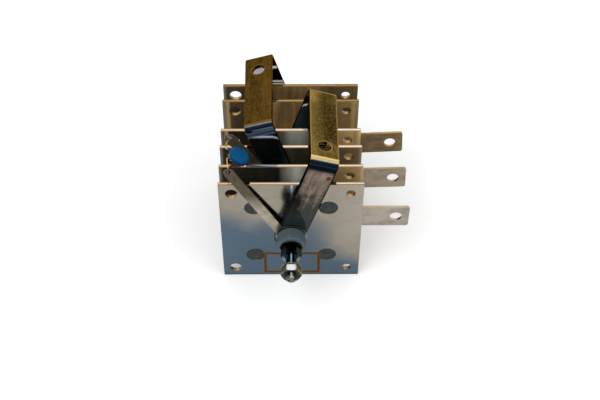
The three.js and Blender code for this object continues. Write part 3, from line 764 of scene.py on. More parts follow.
def bend_reflections(line, look, lift):
    """Painted reflections round a bend of a strap, dark and blue-grey bands, from its leg (0) to its bridge
    (1).
    """
    band, dark = look.blue_reflection, look.dark_shade
    return (
        (0.0, look.strap_mirror), (0.03, look.strap_mirror), (0.1, shade(band, 0.5 * lift)),
        (0.3, shade(band, 0.35 * lift)), (0.36, dark), (0.5, dark), (0.56, shade(band, 0.3)), (0.62, dark),
        (0.72, dark), (0.8, shade(band, 0.7)), (0.85, shade(line, 0.35)), (0.9, shade(line, 0.6)),
    )


def strap_finish(name, node, lean, bridge, line, line_width, worn_and_shaded_leg):
    """Tinned copper bar: a bridge in a painted warm sheen with stains, painted reflection bands round the
    bends, mirror-bright legs on the plus strap and a scuffed front leg on the minus, with painted shade and
    reflections.
    """
    look = settings().finish
    size = settings().straps
    front, rear = depths(node)
    half = size.width / 2
    finish = Finish(name, metallic=1.0)
    brushed = finish.noise(0.0007, finish.where((1, 0.08, 0.08), turn=-lean), detail=3)
    streak = finish.noise(0.0035, finish.where((1, 0.12, 0.12), turn=-lean), detail=4)
    blotch = finish.noise(0.005, detail=5, rough=0.65, distortion=0.6)
    speck = finish.noise(0.0013, detail=4, rough=0.6)
    upright = finish.parts(finish.where(turn=-lean))
    across = finish.sum("ADD", upright["X"], STUD_HEIGHT * math.sin(lean))
    along = finish.sum("SUBTRACT", upright["Z"], STUD_HEIGHT * math.cos(lean))
    aside = finish.sum("ABSOLUTE", across, 0)
    x, y, z, up = finish.x, finish.y, finish.z, finish.up

    # On the minus bridge: darker along its middle, with painted highlights over its left half, at its far left
    # and along its long edges.
    if worn_and_shaded_leg:
        darker_middle = finish.both(
            finish.spread(y, 0.012, 0.02),
            finish.spread(y, 0.042, 0.056, 1, 0.75),
            finish.spread(blotch, 0.3, 0.5, 0.6, 0.95),
            finish.spread(across, -half, half / 5, 0.3, 1),
        )
        far = finish.both(finish.spread(y, 0.05, 0.056), finish.spread(across, -half, -half / 4, 0.9, 0))
        marks = (
            (shade(bridge, 0.2), darker_middle),
            (shade(bridge, 2.2), across, -half, 0, 0.3, 0),
            (shade(bridge, 2.4), far),
            (shade(bridge, 2), aside, half - 0.0011, half - 0.0006),
        )
    # On the plus bridge: a painted highlight over its right half.
    else:
        marks = ((shade(bridge, 2), across, 0, half, 0, 0.35),)
    # Painted highlight in a ring round the bolt hole.
    hole = front + size.hole_inset if worn_and_shaded_leg else rear - size.hole_inset
    hole_radius = size.hole / 2
    beyond = finish.sum("POWER", finish.sum("SUBTRACT", y, hole), 2)
    beyond = finish.sum("SQRT", finish.sum("ADD", finish.sum("POWER", aside, 2), beyond), 0)
    # Painted highlight line where the bridge meets its bend.
    seam = front + size.bend + line_width
    # The bridge's top: the painted warm sheen, with stains, specks and painted highlights.
    top = finish.layers(
        bridge,
        (shade(bridge, 0.55), blotch, 0.42, 0.6),
        (shade(bridge, 1.7), streak, 0.5, 0.68, 0, 0.6),
        *marks,
        (shade(bridge, 1.9), speck, 0.52, 0.64, 0, 0.45),
        (shade(bridge, 0.4), speck, 0.46, 0.36, 0, 0.45),
        (shade(bridge, 2.4), beyond, hole_radius + 0.0005, hole_radius + 0.0011, 0.7, 0),
        (line, y, seam - 0.0004, seam + 0.0004, 1, 0),
    )

    # Painted reflection bands round the bends.
    bands = finish.ramp(up, bend_reflections(line, look, 1.0 if worn_and_shaded_leg else 1.8))
    tarnish = finish.spread(streak, 0.38, 0.62, 0.3, 0.7)
    tarnish = finish.sum("ADD", tarnish, finish.spread(blotch, 0.42, 0.62, 0, 0.3))
    tarnish = finish.both(tarnish, finish.spread(finish.back, 0.3, 0.6), finish.spread(up, 0.05, 0.1, 1, 0))
    bands = finish.layers(bands, (shade(look.strap_leg, 0.7), tarnish))
    if worn_and_shaded_leg:
        # The minus strap's front leg: scuffs, darker towards the stud as painted shade and reflection, with
        # painted shade along its edges and below its bend.
        lower = finish.spread(along, 0.03, 0.062, 1, 0)
        scuff = finish.sum("ADD", finish.spread(streak, 0.36, 0.56), finish.spread(blotch, 0.4, 0.62, 0, 0.7))
        scuff = finish.sum("ADD", scuff, finish.spread(across, -half, 0, 0.5, 0))
        leg = finish.layers(
            look.strap_leg,
            (shade(look.strap_leg, 0.25), finish.both(scuff, finish.spread(lower, 0, 1, 0.35, 1.0))),
            (look.stud_shade, lower, 0.3, 1, 0, 0.45),
            (shade(look.strap_leg, 0.2), speck, 0.5, 0.64, 0, 0.35),
            (look.stud_shade, along, 0.014, 0.038, 0.95, 0),
            (look.dark_shade, aside, half - 0.0012, half - 0.0007),
            (look.dark_shade, along, 0.0675, 0.0705),
        )
        back = front + size.thickness
        front_leg = finish.spread(y, back + 0.0003, back + 0.0017, 1, 0)
        front_leg = finish.both(front_leg, finish.spread(up, 0.2, 0.34, 1, 0))
        bands = finish.layers(bands, (leg, front_leg))
        dull = finish.both(front_leg, finish.spread(along, 0.02, 0.045, 0.75, 0))
    in_bridge = finish.both(
        finish.spread(y, front + size.bend, front + size.bend + MERGE),
        finish.spread(y, rear - size.bend - MERGE, rear - size.bend, 1, 0),
    )
    sideways = finish.sum("ABSOLUTE", finish.side, 0)
    # Painted shade on the side faces, in the bridge's tone near the top.
    side = finish.layers(shade(look.strap_leg, 0.12), (shade(bridge, 0.9), along, 0.066, 0.07))
    body = finish.layers(
        bands,
        (shade(bridge, 0.8), in_bridge),
        (top, up, 0.93, 0.942),
        (side, sideways, 0.6, 0.9),
        # Painted highlight on the bevels along the long edges.
        (shade(bridge, 2.2), finish.both(finish.spread(sideways, 0.42, 0.55), finish.spread(up, 0.45, 0.6))),
    )
    if not worn_and_shaded_leg:
        # The plus strap: painted reflections of plate edges as pale bands on its rear leg, a painted dark
        # reflection on that leg's inner face and a painted reflected band below its front bend.
        narrowing = (x, -0.02, -0.012)
        beside = finish.sum("SUBTRACT", z, finish.spread(*narrowing, 0.114, 0.1166))
        beside = finish.sum("ABSOLUTE", beside, 0)
        beside = finish.sum("DIVIDE", beside, finish.spread(*narrowing, 0.006, 0.0016))
        reflected = finish.spread(beside, 0.6, 1, 1, 0)
        for place, reach in ((0.1028, 0.0011), (0.0998, 0.0016)):
            reflected = finish.sum("MAXIMUM", reflected, finish.near(z, place, 0.0006, reach))
        toward = finish.spread(finish.back, -0.8, -0.9)
        below_bend_reflection = finish.both(finish.near(along, 0.0705, 0.0012, 0.0028), toward)
        below_bend_reflection = finish.both(below_bend_reflection, finish.spread(y, front + 0.001, front + 0.002, 1, 0))
        inward = finish.both(finish.spread(y, rear - 0.005, rear - 0.004), toward)
        reflected = finish.both(reflected, inward)
        body = finish.layers(
            body,
            (shade(look.blue_reflection, 0.75), below_bend_reflection),
            (look.dark_shade, inward),
            (shade(look.cool_reflection, 1.4), reflected),
        )
        dull = finish.sum("MAXIMUM", reflected, finish.spread(below_bend_reflection, 0, 1, 0, 0.7))
    finish.join(shade(look.strap_leg, 1.4), finish.inputs["Specular Tint"])
    rough = finish.spread(up, 0.3, 0.7, 0.05, 0.16)
    rough = finish.sum("ADD", rough, finish.spread(blotch, 0.5, 0.75, 0, 0.08))
    finish.bump(blotch, 0.08, 0.00004, finish.bump(brushed, 0.04, 0.00001))
    return finish.made(body, rough, finish.spread(dull, 0, 1, 1, 0))


def tinned_finish(name, base, size, top_share=1.0):
    """Tinned strip with a soft grain along its length, stains and a painted golden highlight on faces that look
    up.
    """
    look = settings().finish
    finish = Finish(name, metallic=1.0)
    grain = finish.noise(0.0006, finish.where((0.06, 1, 1)), detail=3)
    stain = finish.noise(size, finish.where((0.6, 1, 1)), detail=4, distortion=0.3)
    # Painted golden highlight on faces that look up.
    upper = finish.layers(shade(base, 1.4), (shade(look.warm_highlight, 0.8), stain, 0.42, 0.6))
    face = finish.layers(
        base,
        (shade(base, 0.55), stain, 0.42, 0.68),
        (shade(base, 1.35), grain, 0.35, 0.7, 0, 0.25),
        (upper, finish.up, 0.4, 0.85, 0, top_share),
    )
    finish.bump(grain, 0.1, 0.00002)
    return finish.made(face, finish.spread(grain, 0.3, 0.7, 0.18, 0.3))


def lug_finish(name, metallic):
    """Tinned lug: pale towards its ring, olive grey towards its head, with painted shade and reflection in
    blue-grey and dark on edges that look partly up.
    """
    look = settings().finish
    finish = Finish(name, metallic=metallic)
    grain = finish.noise(0.0006, finish.where((1, 1, 0.07), turn=math.radians(30)), detail=3)
    stain = finish.noise(0.006, detail=4, distortion=0.3)
    # Painted shade and reflection on edges that look partly up.
    rim = finish.layers(look.blue_reflection, (look.dark_shade, grain, 0.4, 0.6))
    face = finish.layers(
        shade(look.lug, 1.6),
        (shade(look.lug_dark, 0.62), finish.z, 0.076, 0.092),
        (look.lug, finish.z, 0.056, 0.07, 1, 0),
        (look.lug_dark, stain, 0.45, 0.7, 0, 0.5),
        (look.lug, grain, 0.4, 0.7, 0, 0.2),
        (rim, finish.up, 0.45, 0.8),
    )
    finish.bump(grain, 0.1, 0.00002)
    return finish.made(face, finish.spread(stain, 0.35, 0.7, 0.16, 0.3))


def plated(name, base, dark):
    """Plated steel, duller where the plating is thin: its finish, face and roughness."""
    finish = Finish(name, metallic=1.0)
    cloud = finish.noise(0.004, detail=4)
    finish.bump(finish.noise(0.0005, detail=2), 0.06, 0.00001)
    face = finish.layers(base, (dark, cloud, 0.4, 0.65, 0, 0.7))
    return finish, face, finish.spread(cloud, 0.35, 0.7, 0.1, 0.22)


def plated_finish(name, base, dark, light, front=0.0, front_reflection=None):
    """Plated nuts and washers: a painted highlight on flats that look up, painted shade on the front of some,
    and a painted reflection low on the front of others.
    """
    finish, face, rough = plated(name, base, dark)
    # Painted highlight on flats that look up.
    flat = finish.spread(finish.up, 0.85, 0.93)
    # Painted reflection low on the front.
    if front_reflection:
        low = finish.spread(finish.z, STUD_HEIGHT - 0.0015, STUD_HEIGHT + 0.0015, 1, 0)
        face = finish.layers(face, (front_reflection, finish.both(finish.spread(finish.back, -0.9, -0.98), low)))
    # Painted shade on the front, with the highlight kept to its middle.
    if front:
        face = finish.layers(face, (dark, finish.back, -0.75, -0.95, 0, front))
        flat = finish.both(flat, finish.near(finish.x, 0, 0.0026, 0.0036))
    return finish.made(finish.layers(face, (light, flat)), rough)


def thread_finish():
    """Zinc plated thread: dark, with a painted highlight line along its top, a grey end and a painted golden
    highlight behind it.
    """
    look = settings().finish
    finish, face, rough = plated("Zinc thread", look.zinc_blue, look.zinc_dark)
    tip = depths("central_stud")[0]
    # Painted highlight along the top.
    line = finish.both(finish.near(finish.x, 0, 0.0003, 0.0008), finish.spread(finish.up, 0.2, 0.4))
    end = finish.spread(finish.back, -0.6, -0.8)
    end = finish.both(end, finish.spread(finish.y, tip + 0.0009, tip + 0.0013, 1, 0))
    # Painted golden highlight behind the tip.
    sheen = finish.both(
        finish.spread(finish.y, tip + 0.003, tip + 0.004, 1, 0),
        finish.spread(finish.up, 0.5, 0.7),
        finish.near(finish.x, 0.0003, 0.0009, 0.0016),
    )
    bright = shade(look.warm_highlight, 1.3)
    face = finish.layers(face, (look.ridge_highlight, line), (look.zinc_tip, end), (bright, sheen))
    dull = finish.sum("MAXIMUM", line, sheen)
    return finish.made(face, rough, finish.spread(dull, 0, 1, 1, 0.25))


def diode_finish():
    """Dull nickel skin with a fine tooth and pale specks."""
    look = settings().finish
    finish = Finish("Nickel case", metallic=0.6)
    tooth = finish.noise(0.0004, detail=3)
    face = finish.layers(
        look.diode,
        (look.diode_dark, finish.noise(0.0035, detail=4), 0.38, 0.62),
        (shade(look.diode, 1.5), tooth, 0.45, 0.7, 0, 0.35),
        (shade(look.diode, 2.8), finish.noise(0.0009, detail=3), 0.5, 0.62, 0, 0.8),
    )
    finish.bump(tooth, 0.25, 0.00003)
    return finish.made(face, finish.spread(tooth, 0.3, 0.7, 0.4, 0.58))


def plastic_finish(name, base, rough):
    """Moulded plastic with a faint orange peel and some handling marks."""
    finish = Finish(name, specular=0.3)
    marks = finish.noise(0.005, detail=4)
    face = finish.layers(base, (shade(base, 0.62), marks, 0.42, 0.72, 0, 0.5))
    finish.bump(finish.noise(0.0005, detail=2), 0.2, 0.00004)
    return finish.made(face, finish.spread(marks, 0.35, 0.7, rough - 0.06, rough + 0.12))


def coating_finish():
    """Dipped epoxy: saturated, slightly glossy, darker in patches where it runs thicker, with painted shade on
    faces that turn away from up.
    """
    look = settings().finish
    finish = Finish("Dipped epoxy", specular=0.06)
    cloud = finish.noise(0.004, detail=3)
    # Painted shade on faces that turn away from up, added to darker patches where the coat runs thick.
    rim = finish.spread(finish.up, 0.15, 0.8, 1, 0)
    thick = finish.sum("ADD", finish.spread(rim, 0, 1, 0, 0.85), finish.spread(cloud, 0.4, 0.7, 0, 0.25))
    finish.bump(finish.noise(0.0009, detail=2), 0.25, 0.00008)
    face = finish.layers(look.disc, (look.disc_dark, thick))
    return finish.made(face, finish.spread(cloud, 0.35, 0.7, 0.24, 0.36))


def uneven_finish(name, base, size, detail, thin, dark, bump, polish=None, **shares):
    """A coat of one colour, darker in patches, with a bump that follows them."""
    finish = Finish(name, **shares)
    uneven = finish.noise(size, detail=detail)
    finish.bump(uneven, *bump)
    face = finish.layers(base, (shade(base, dark), uneven, thin, 0.7))
    return finish.made(face, polish and finish.spread(uneven, *polish))


# Pieces


class RectifierOperator(bpy.types.Operator):
    """Shared by the operators that build the stack"""

    bl_options = {"REGISTER", "UNDO"}

    def execute(self, context):
        self.build()
        return {"FINISHED"}


class RECTIFIER_OT_cooling_plates(RectifierOperator):
    """Six cooling plates with sheared edges and punched holes"""

    bl_idname = "rectifier.cooling_plates"
    bl_label = "Cooling plates"

    def build(self):
        size = settings().plates
        half = PLATE_SIDE / 2
        hole = half - size.hole_inset
        holes = [(0, 0, size.stud_hole)]
        for up in (-1, 1):
            holes.append((-hole, up * hole, size.left_hole))
            holes.append((hole, up * hole, size.right_hole))
        for corner in CORNERS:
            place = middle(f"diode_1_{corner}")
            holes.append((place.x, place.z - STUD_HEIGHT, size.diode_hole))
        for number in PLATES:
            node = f"cooling_plate_{number}"
            bm = sheet(rectangle(-half, -half, half, half), holes, PLATE_THICKNESS, size.edge)
            stand(bm, depths(node)[1])
            add_piece(f"{node}_sheet", bm, plate_finish(number), [node])


class RECTIFIER_OT_diodes(RectifierOperator):
    """Twenty-four press-fit diodes: knurled cases, seals and soldered leads"""

    bl_idname = "rectifier.diodes"
    bl_label = "Diodes"

    RIM = 0.0003
    GROOVE = 0.00008
    SHOULDER = 0.0002
    KNURL_ENDS = (0.001, 0.0016)
    KNURL_MARGIN = 0.0001
    SEAL_SEAT = 0.0014
    SEAL_SINK = 0.0013
    SEAL_GAP = 0.00005
    SEAL_STEPS = 36
    LEAD_STEPS = 16
    SOLDER_STEPS = 28
    SOLDER_HEIGHT = 0.0028

    def case(self, size):
        """A case that stands on its closed back, with every other point of its knurl drawn out."""
        radius = size.case / 2
        mouth = size.seal / 2
        top = size.case_height
        groove, rim = self.GROOVE, self.RIM
        seat = top - self.SEAL_SEAT
        neck = radius - self.SHOULDER
        start, end = self.KNURL_ENDS[0], top - self.KNURL_ENDS[1]
        profile = [
            (0, 0), (radius * 0.5, 0), (radius * 0.56, groove), (radius * 0.64, groove), (radius * 0.7, 0),
            (radius - rim, 0), (radius - groove, groove * 1.5), (radius, 0.0004), (radius, start),
            (radius, end), (neck, top - self.SEAL_SINK), (neck, top - rim), (neck - rim, top),
            (mouth + rim, top), (mouth, top - rim), (mouth, seat), (0, seat),
        ]
        bm = turned(profile, steps=2 * size.knurls)
        for vert in bm.verts:
            out = math.hypot(vert.co.x, vert.co.y)
            if out > radius - MERGE and start - self.KNURL_MARGIN < vert.co.z < end + self.KNURL_MARGIN:
                step = round(math.atan2(vert.co.y, vert.co.x) / TURN * 2 * size.knurls)
                if step % 2:
                    vert.co.xy *= 1 + size.knurl / radius
        return bm

    def seal(self, size):
        """The epoxy in the mouth, which domes out round the lead."""
        top = size.case_height
        mouth = size.seal / 2 - self.SEAL_GAP
        lead = size.lead / 2
        rise = size.seal_height
        low = top - self.SEAL_SINK
        profile = [
            (0, low), (mouth, low), (mouth, top - 0.0004),
            (mouth * 0.93, top + rise * 0.08), (mouth * 0.72, top + rise * 0.3),
            (mouth * 0.46, top + rise * 0.58), (lead * 1.7, top + rise * 0.85), (lead * 1.05, top + rise),
            (0, top + rise),
        ]
        return turned(profile, steps=self.SEAL_STEPS)

    def lead(self, size, reach):
        """A lead from within the seal, with a blunt tip."""
        radius = size.lead / 2
        start = size.case_height + size.seal_height * 0.6
        profile = [(0, start), (radius, start), (radius, reach - 0.00002), (radius * 0.9, reach), (0, reach)]
        return turned(profile, steps=self.LEAD_STEPS)

    def solder(self, size, landing):
        """The solder that runs down a lead to the plate it lands on."""
        wide = size.solder
        lead = size.lead / 2
        start = landing - self.SOLDER_HEIGHT
        profile = [
            (0, start), (lead * 1.05, start), (wide * 0.4, landing - 0.0016), (wide * 0.58, landing - 0.0009),
            (wide * 0.86, landing - 0.00035), (wide, landing), (0, landing),
        ]
        return turned(profile, steps=self.SOLDER_STEPS)

    def build(self):
        size = settings().diodes
        case_look = diode_finish()
        seal_look = plastic_finish("Epoxy seal", settings().finish.seal, 0.35)
        lead_look = tinned_finish("Tinned lead", settings().finish.copper, 0.004)
        solder = settings().finish.solder
        solder_look = uneven_finish(
            "Solder", solder, 0.0012, 4, 0.45, 0.45, (0.2, 0.0001), (0.4, 0.7, 0.16, 0.4), metallic=1.0
        )
        collector = depths("lead_collector")
        landings = {number: depths(f"cooling_plate_{number + 1}")[0] for number in (1, 2, 3)}
        landings[4] = landings[5] = sum(collector) / 2
        landings[6] = depths("cooling_plate_5")[1]
        for number in PLATES:
            rearward = number in REARWARD_PLATES
            seals, leads, joints = bmesh.new(), bmesh.new(), bmesh.new()
            for corner in CORNERS:
                node = f"diode_{number}_{corner}"
                place = middle(node)
                front, rear = depths(node)
                back = front if rearward else rear
                landing = abs(landings[number] - back)
                case = self.case(size)
                lay_along(case, place.x, back, place.z, not rearward)
                add_piece(f"{node}_case", case, case_look, [node], crease=24)
                for whole, part in (
                    (seals, self.seal(size)),
                    (leads, self.lead(size, rear - front)),
                    (joints, self.solder(size, landing)),
                ):
                    lay_along(part, place.x, back, place.z, not rearward)
                    join_into(whole, part)
            for name, whole, finish, slot in (
                ("seals", seals, seal_look, "sleeve_plastic"),
                ("leads", leads, lead_look, "tinned_copper"),
                ("solder", joints, solder_look, "tinned_copper"),
            ):
                add_piece(f"diode_{name}_{number}", whole, finish, even=False)


class RECTIFIER_OT_spacers(RectifierOperator):
    """Six insulating spacers and the sleeve round the stud"""

    bl_idname = "rectifier.spacers"
    bl_label = "Spacers and sleeve"

    EDGE = 0.0005

    def build(self):
        look = settings().finish
        bore = settings().plates.stud_hole / 2
        finish = plastic_finish("Spacer plastic", look.spacer, 0.4)
        for node in (f"spacer_{number}" for number in PLATES):
            add_turned(node, "tube", tube(node, bore, self.EDGE), finish)
        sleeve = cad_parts["insulating_sleeve"]
        sleeve.data.materials.clear()
        sleeve.data.materials.append(plastic_finish("Sleeve plastic", look.sleeve, 0.35))


class RECTIFIER_OT_terminals(RectifierOperator):
    """Three alternating-current tabs with rounded ends and a bolt hole each"""

    bl_idname = "rectifier.terminals"
    bl_label = "Alternating-current tabs"

    END_ROUNDING = 0.98
    STAIN = 0.009

    def build(self):
        size = settings().terminals
        half = size.width / 2
        round_end = half * self.END_ROUNDING
        look = settings().finish
        for number, turn in enumerate((size.turn_1, size.turn_2, size.turn_3), 1):
            node = f"ac_terminal_{number}"
            front, rear = depths(node)
            reach = (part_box("ac_terminal_1")[1].x - half * math.sin(abs(size.turn_1))) / math.cos(size.turn_1)
            corners = [
                (-half, -half, round_end), (reach, -half, size.corner), (reach, half, size.corner),
                (-half, half, round_end),
            ]
            holes = [(0, 0, settings().plates.stud_hole), (reach - size.hole_inset, 0, size.hole)]
            bm = sheet(corners, holes, rear - front, size.edge)
            stand(bm, rear, -turn)
            base = blend(look.tab, look.tab_brown, (number - 1) / 2)
            finish = tinned_finish(f"Tinned tab {number}", base, self.STAIN)
            add_piece(f"{node}_tab", bm, finish, [node])


class RECTIFIER_OT_bus_straps(RectifierOperator):
    """Two U-shaped bus straps, drilled flat and then bent"""

    bl_idname = "rectifier.bus_straps"
    bl_label = "Bus straps"

    BEND_CUTS = 10
    BRIDGE_CUTS = 8

    def strap(self, size, span, rise):
        """A strap along +Y from its drilled end, which is higher by rise: a sheet, drilled and then bent."""
        neutral = size.bend - size.thickness / 2
        arc = neutral * math.pi / 2
        bridge = span - 2 * size.bend
        leg = size.foot + size.top - size.bend
        first_bend = leg + rise
        second_bend = first_bend + arc + bridge
        total = second_bend + arc + leg
        half = size.width / 2
        stud = settings().plates.stud_hole
        bolt = first_bend + arc + size.hole_inset - size.bend
        bm = sheet(
            rectangle(0, -half, total, half, size.foot_corner),
            [(size.foot, 0, stud), (total - size.foot, 0, stud), (bolt, 0, size.hole)],
            size.thickness,
            size.edge,
        )
        for start, reach, count in (
            (first_bend, arc, self.BEND_CUTS),
            (first_bend + arc, bridge, self.BRIDGE_CUTS),
            (second_bend, arc, self.BEND_CUTS),
        ):
            for cut in range(count):
                cut_across(bm, (start + reach * cut / count, 0, 0), (1, 0, 0))
        cut_across(bm, (second_bend + arc, 0, 0), (1, 0, 0))

        def bent(along, across, depth):
            """Where a point of the sheet goes: depth is measured in from the strap's outer face."""
            if along <= first_bend:
                return Vector((across, depth, along - size.foot))
            if along < first_bend + arc:
                turn = (along - first_bend) / neutral
                radius = size.bend - depth
                shoulder = size.top + rise - size.bend
                y = size.bend - radius * math.cos(turn)
                return Vector((across, y, shoulder + radius * math.sin(turn)))
            if along <= second_bend:
                run = along - first_bend - arc
                sag = size.sag * math.sin(math.pi * run / bridge) ** 2
                fall = rise * run / bridge
                return Vector((across, size.bend + run, size.top + rise - fall - depth - sag))
            if along < second_bend + arc:
                turn = (along - second_bend) / neutral
                radius = size.bend - depth
                shoulder = size.top - size.bend
                y = span - size.bend + radius * math.sin(turn)
                return Vector((across, y, shoulder + radius * math.cos(turn)))
            return Vector((across, span - depth, total - along - size.foot))

        for vert in bm.verts:
            vert.co = bent(*vert.co)
        bmesh.ops.recalc_face_normals(bm, faces=bm.faces[:])
        return bm

    def build(self):
        size = settings().straps
        look = settings().finish
        for name, turn, rise, bridge, line, line_width in (
            ("minus", size.lean, 0, look.minus_bridge_sheen, look.minus_bend_highlight, 0.0007),
            ("plus", -size.lean, size.rise, look.plus_bridge_sheen, look.plus_bend_highlight, -0.001),
        ):
            node = f"{name}_bus_strap"
            front, rear = depths(node)
            worn_and_shaded_leg = name == "minus"
            finish = strap_finish(f"Tinned bar {name}", node, turn, bridge, line, line_width, worn_and_shaded_leg)
            bm = self.strap(size, rear - front, rise)
            start = front
            if name == "plus":
                turn_about(bm, "Z", math.pi)
                start = rear
            turn_about(bm, "Y", turn)
            move(bm, 0, start, STUD_HEIGHT)
            add_piece(f"{node}_bar", bm, finish, [node], crease=40)


class RECTIFIER_OT_collector(RectifierOperator):
    """The plate that joins the eight leads in the wide gap"""

    bl_idname = "rectifier.collector"
    bl_label = "Lead collector"

    CORNER = 0.005
    EDGE = 0.00015
    LEAD_ROOM = 0.0002

    def build(self):
        low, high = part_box("lead_collector")
        half = (high.x - low.x) / 2
        lead = settings().diodes.lead + self.LEAD_ROOM
        holes = [(0, 0, settings().plates.stud_hole)]
        for corner in CORNERS:
            place = middle(f"diode_4_{corner}")
            holes.append((place.x, place.z - STUD_HEIGHT, lead))
        bm = sheet(rectangle(-half, -half, half, half, self.CORNER), holes, high.y - low.y, self.EDGE)
        stand(bm, high.y)
        finish = tinned_finish("Tinned collector", settings().finish.copper, 0.008)
        add_piece("lead_collector_plate", bm, finish, ["lead_collector"])


class RECTIFIER_OT_solder_lugs(RectifierOperator):
    """Two solder lugs with rounded edges"""

    bl_idname = "rectifier.solder_lugs"
    bl_label = "Solder lugs"

    EDGE = 0.00015
    SHARP = 40

    def build(self):
        for name, metallic in (("outer_solder_lug", 1.0), ("inner_solder_lug", 0.3)):
            finish = lug_finish(f"Tinned {name}", metallic)
            bm = merged_copy(name)
            soften(bm, self.SHARP, self.EDGE)
            add_piece(f"{name}_strip", bm, finish, [name])


class RECTIFIER_OT_suppressor(RectifierOperator):
    """The coated suppressor disc and its two wires"""

    bl_idname = "rectifier.suppressor"
    bl_label = "Surge suppressor"

    VOXEL = 0.00022
    FLOW = 0.5
    FLOW_ROUNDS = 14
    WIRE_ROUNDS = 2

    def build(self):
        node = "surge_suppressor"
        coat = coating_finish()
        disc = add_piece("suppressor_disc", merged_copy(node), coat, [node], even=False)
        remesh = disc.modifiers.new("Coating", "REMESH")
        remesh.mode = "VOXEL"
        remesh.voxel_size = self.VOXEL
        smooth = disc.modifiers.new("Flow", "SMOOTH")
        smooth.factor = self.FLOW
        smooth.iterations = self.FLOW_ROUNDS
        apply_modifiers(disc)
        look = tinned_finish("Tinned wire", settings().finish.copper, 0.004, top_share=0.2)
        for end in ENDS:
            node = f"suppressor_{end}_lead"
            wire = add_piece(f"{node}_wire", merged_copy(node), look, [node], even=False)
            rounding = wire.modifiers.new("Round", "SUBSURF")
            rounding.levels = rounding.render_levels = self.WIRE_ROUNDS


class RECTIFIER_OT_stud(RectifierOperator):
    """The stud with a real thread at both ends and a driver slot in its front tip"""

    bl_idname = "rectifier.stud"
    bl_label = "Stud"

    THREAD_STEPS = 32
    THREAD_DEPTH = 0.6134
    SLACK = 0.0015
    SHANK_RELIEF = 0.0002
    SHANK_TAPER = 0.0006
    SHANK_STEPS = 48

    def thread(self, size, start, end):
        """A threaded length from start to end along Z, closed at both ends."""
        crest = size.stud / 2
        root = crest - self.THREAD_DEPTH * size.pitch
        flats = ((root, 1 / 8), (crest, 7 / 16), (crest, 9 / 16), (root, 7 / 8), (root, 9 / 8))
        bm = bmesh.new()
        first = start - 2 * size.pitch
        geom = chain(bm, [(radius, first + share * size.pitch) for radius, share in flats])
        turns = math.ceil((end - start) / size.pitch) + 4
        rise = UP * size.pitch / self.THREAD_STEPS
        steps = self.THREAD_STEPS * turns
        bmesh.ops.spin(
            bm, geom=geom, cent=(0, 0, 0), axis=UP, dvec=rise, angle=TURN * turns, steps=steps,
            use_merge=False, use_duplicate=False,
        )
        bmesh.ops.remove_doubles(bm, verts=bm.verts[:], dist=MERGE)
        for place, above in ((start, -1), (end, 1)):
            cut_across(bm, (0, 0, place), (0, 0, above), clear_outer=True)
        rims = [edge for edge in bm.edges if edge.is_boundary]
        bmesh.ops.holes_fill(bm, edges=rims, sides=0)
        bmesh.ops.recalc_face_normals(bm, faces=bm.faces[:])
        return bm

    def point_tips(self, bm, size, front, rear):
        """Draws the thread in towards the two tips."""
        radius = size.stud / 2
        for vert in bm.verts:
            room = radius - size.tip_chamfer + min(vert.co.z - front, rear - vert.co.z)
            out = math.hypot(vert.co.x, vert.co.y)
            if out > room > 0:
                vert.co.xy *= room / out

    def slotted(self, bm, size, front):
        """Cuts the driver slot across the front tip of a threaded length."""
        cutter = bmesh.new()
        bmesh.ops.create_cube(cutter, size=1)
        reach = (2 * size.stud, size.slot_width, 2 * size.slot_depth)
        bmesh.ops.scale(cutter, vec=reach, verts=cutter.verts[:])
        turn_about(cutter, "Z", -size.slot_turn)
        move(cutter, 0, 0, front)
        made = []
        for name, part in (("slot_cutter", cutter), ("slotted_thread", bm)):
            made.append(new_object(name, new_mesh(name, part)))
        tool, tip = made
        slot = tip.modifiers.new("Driver slot", "BOOLEAN")
        slot.operation = "DIFFERENCE"
        slot.solver = "EXACT"
        slot.object = tool
        apply_modifiers(tip)
        bm = bmesh.new()
        bm.from_mesh(tip.data)
        for piece in made:
            bpy.data.objects.remove(piece)
        return bm

    def build(self):
        size = settings().hardware
        front, rear = depths("central_stud")
        inner_front = depths("front_lock_washer")[1] + self.SLACK
        inner_rear = depths("rear_lock_washer")[0] - self.SLACK
        front_thread = self.thread(size, front, inner_front)
        rear_thread = self.thread(size, inner_rear, rear)
        for part in (front_thread, rear_thread):
            self.point_tips(part, size, front, rear)
        bm = self.slotted(front_thread, size, front)
        join_into(bm, rear_thread)
        shank = size.stud / 2 - self.SHANK_RELIEF
        thin = shank - self.SHANK_TAPER
        start, end = inner_front - size.pitch, inner_rear + size.pitch
        profile = [(0, start), (thin, start), (shank, inner_front)]
        profile += [(shank, inner_rear), (thin, end), (0, end)]
        join_into(bm, turned(profile, steps=self.SHANK_STEPS))
        lay_along(bm, 0, 0, STUD_HEIGHT)
        add_piece("stud_threaded", bm, thread_finish(), ["central_stud"], crease=28, even=False)


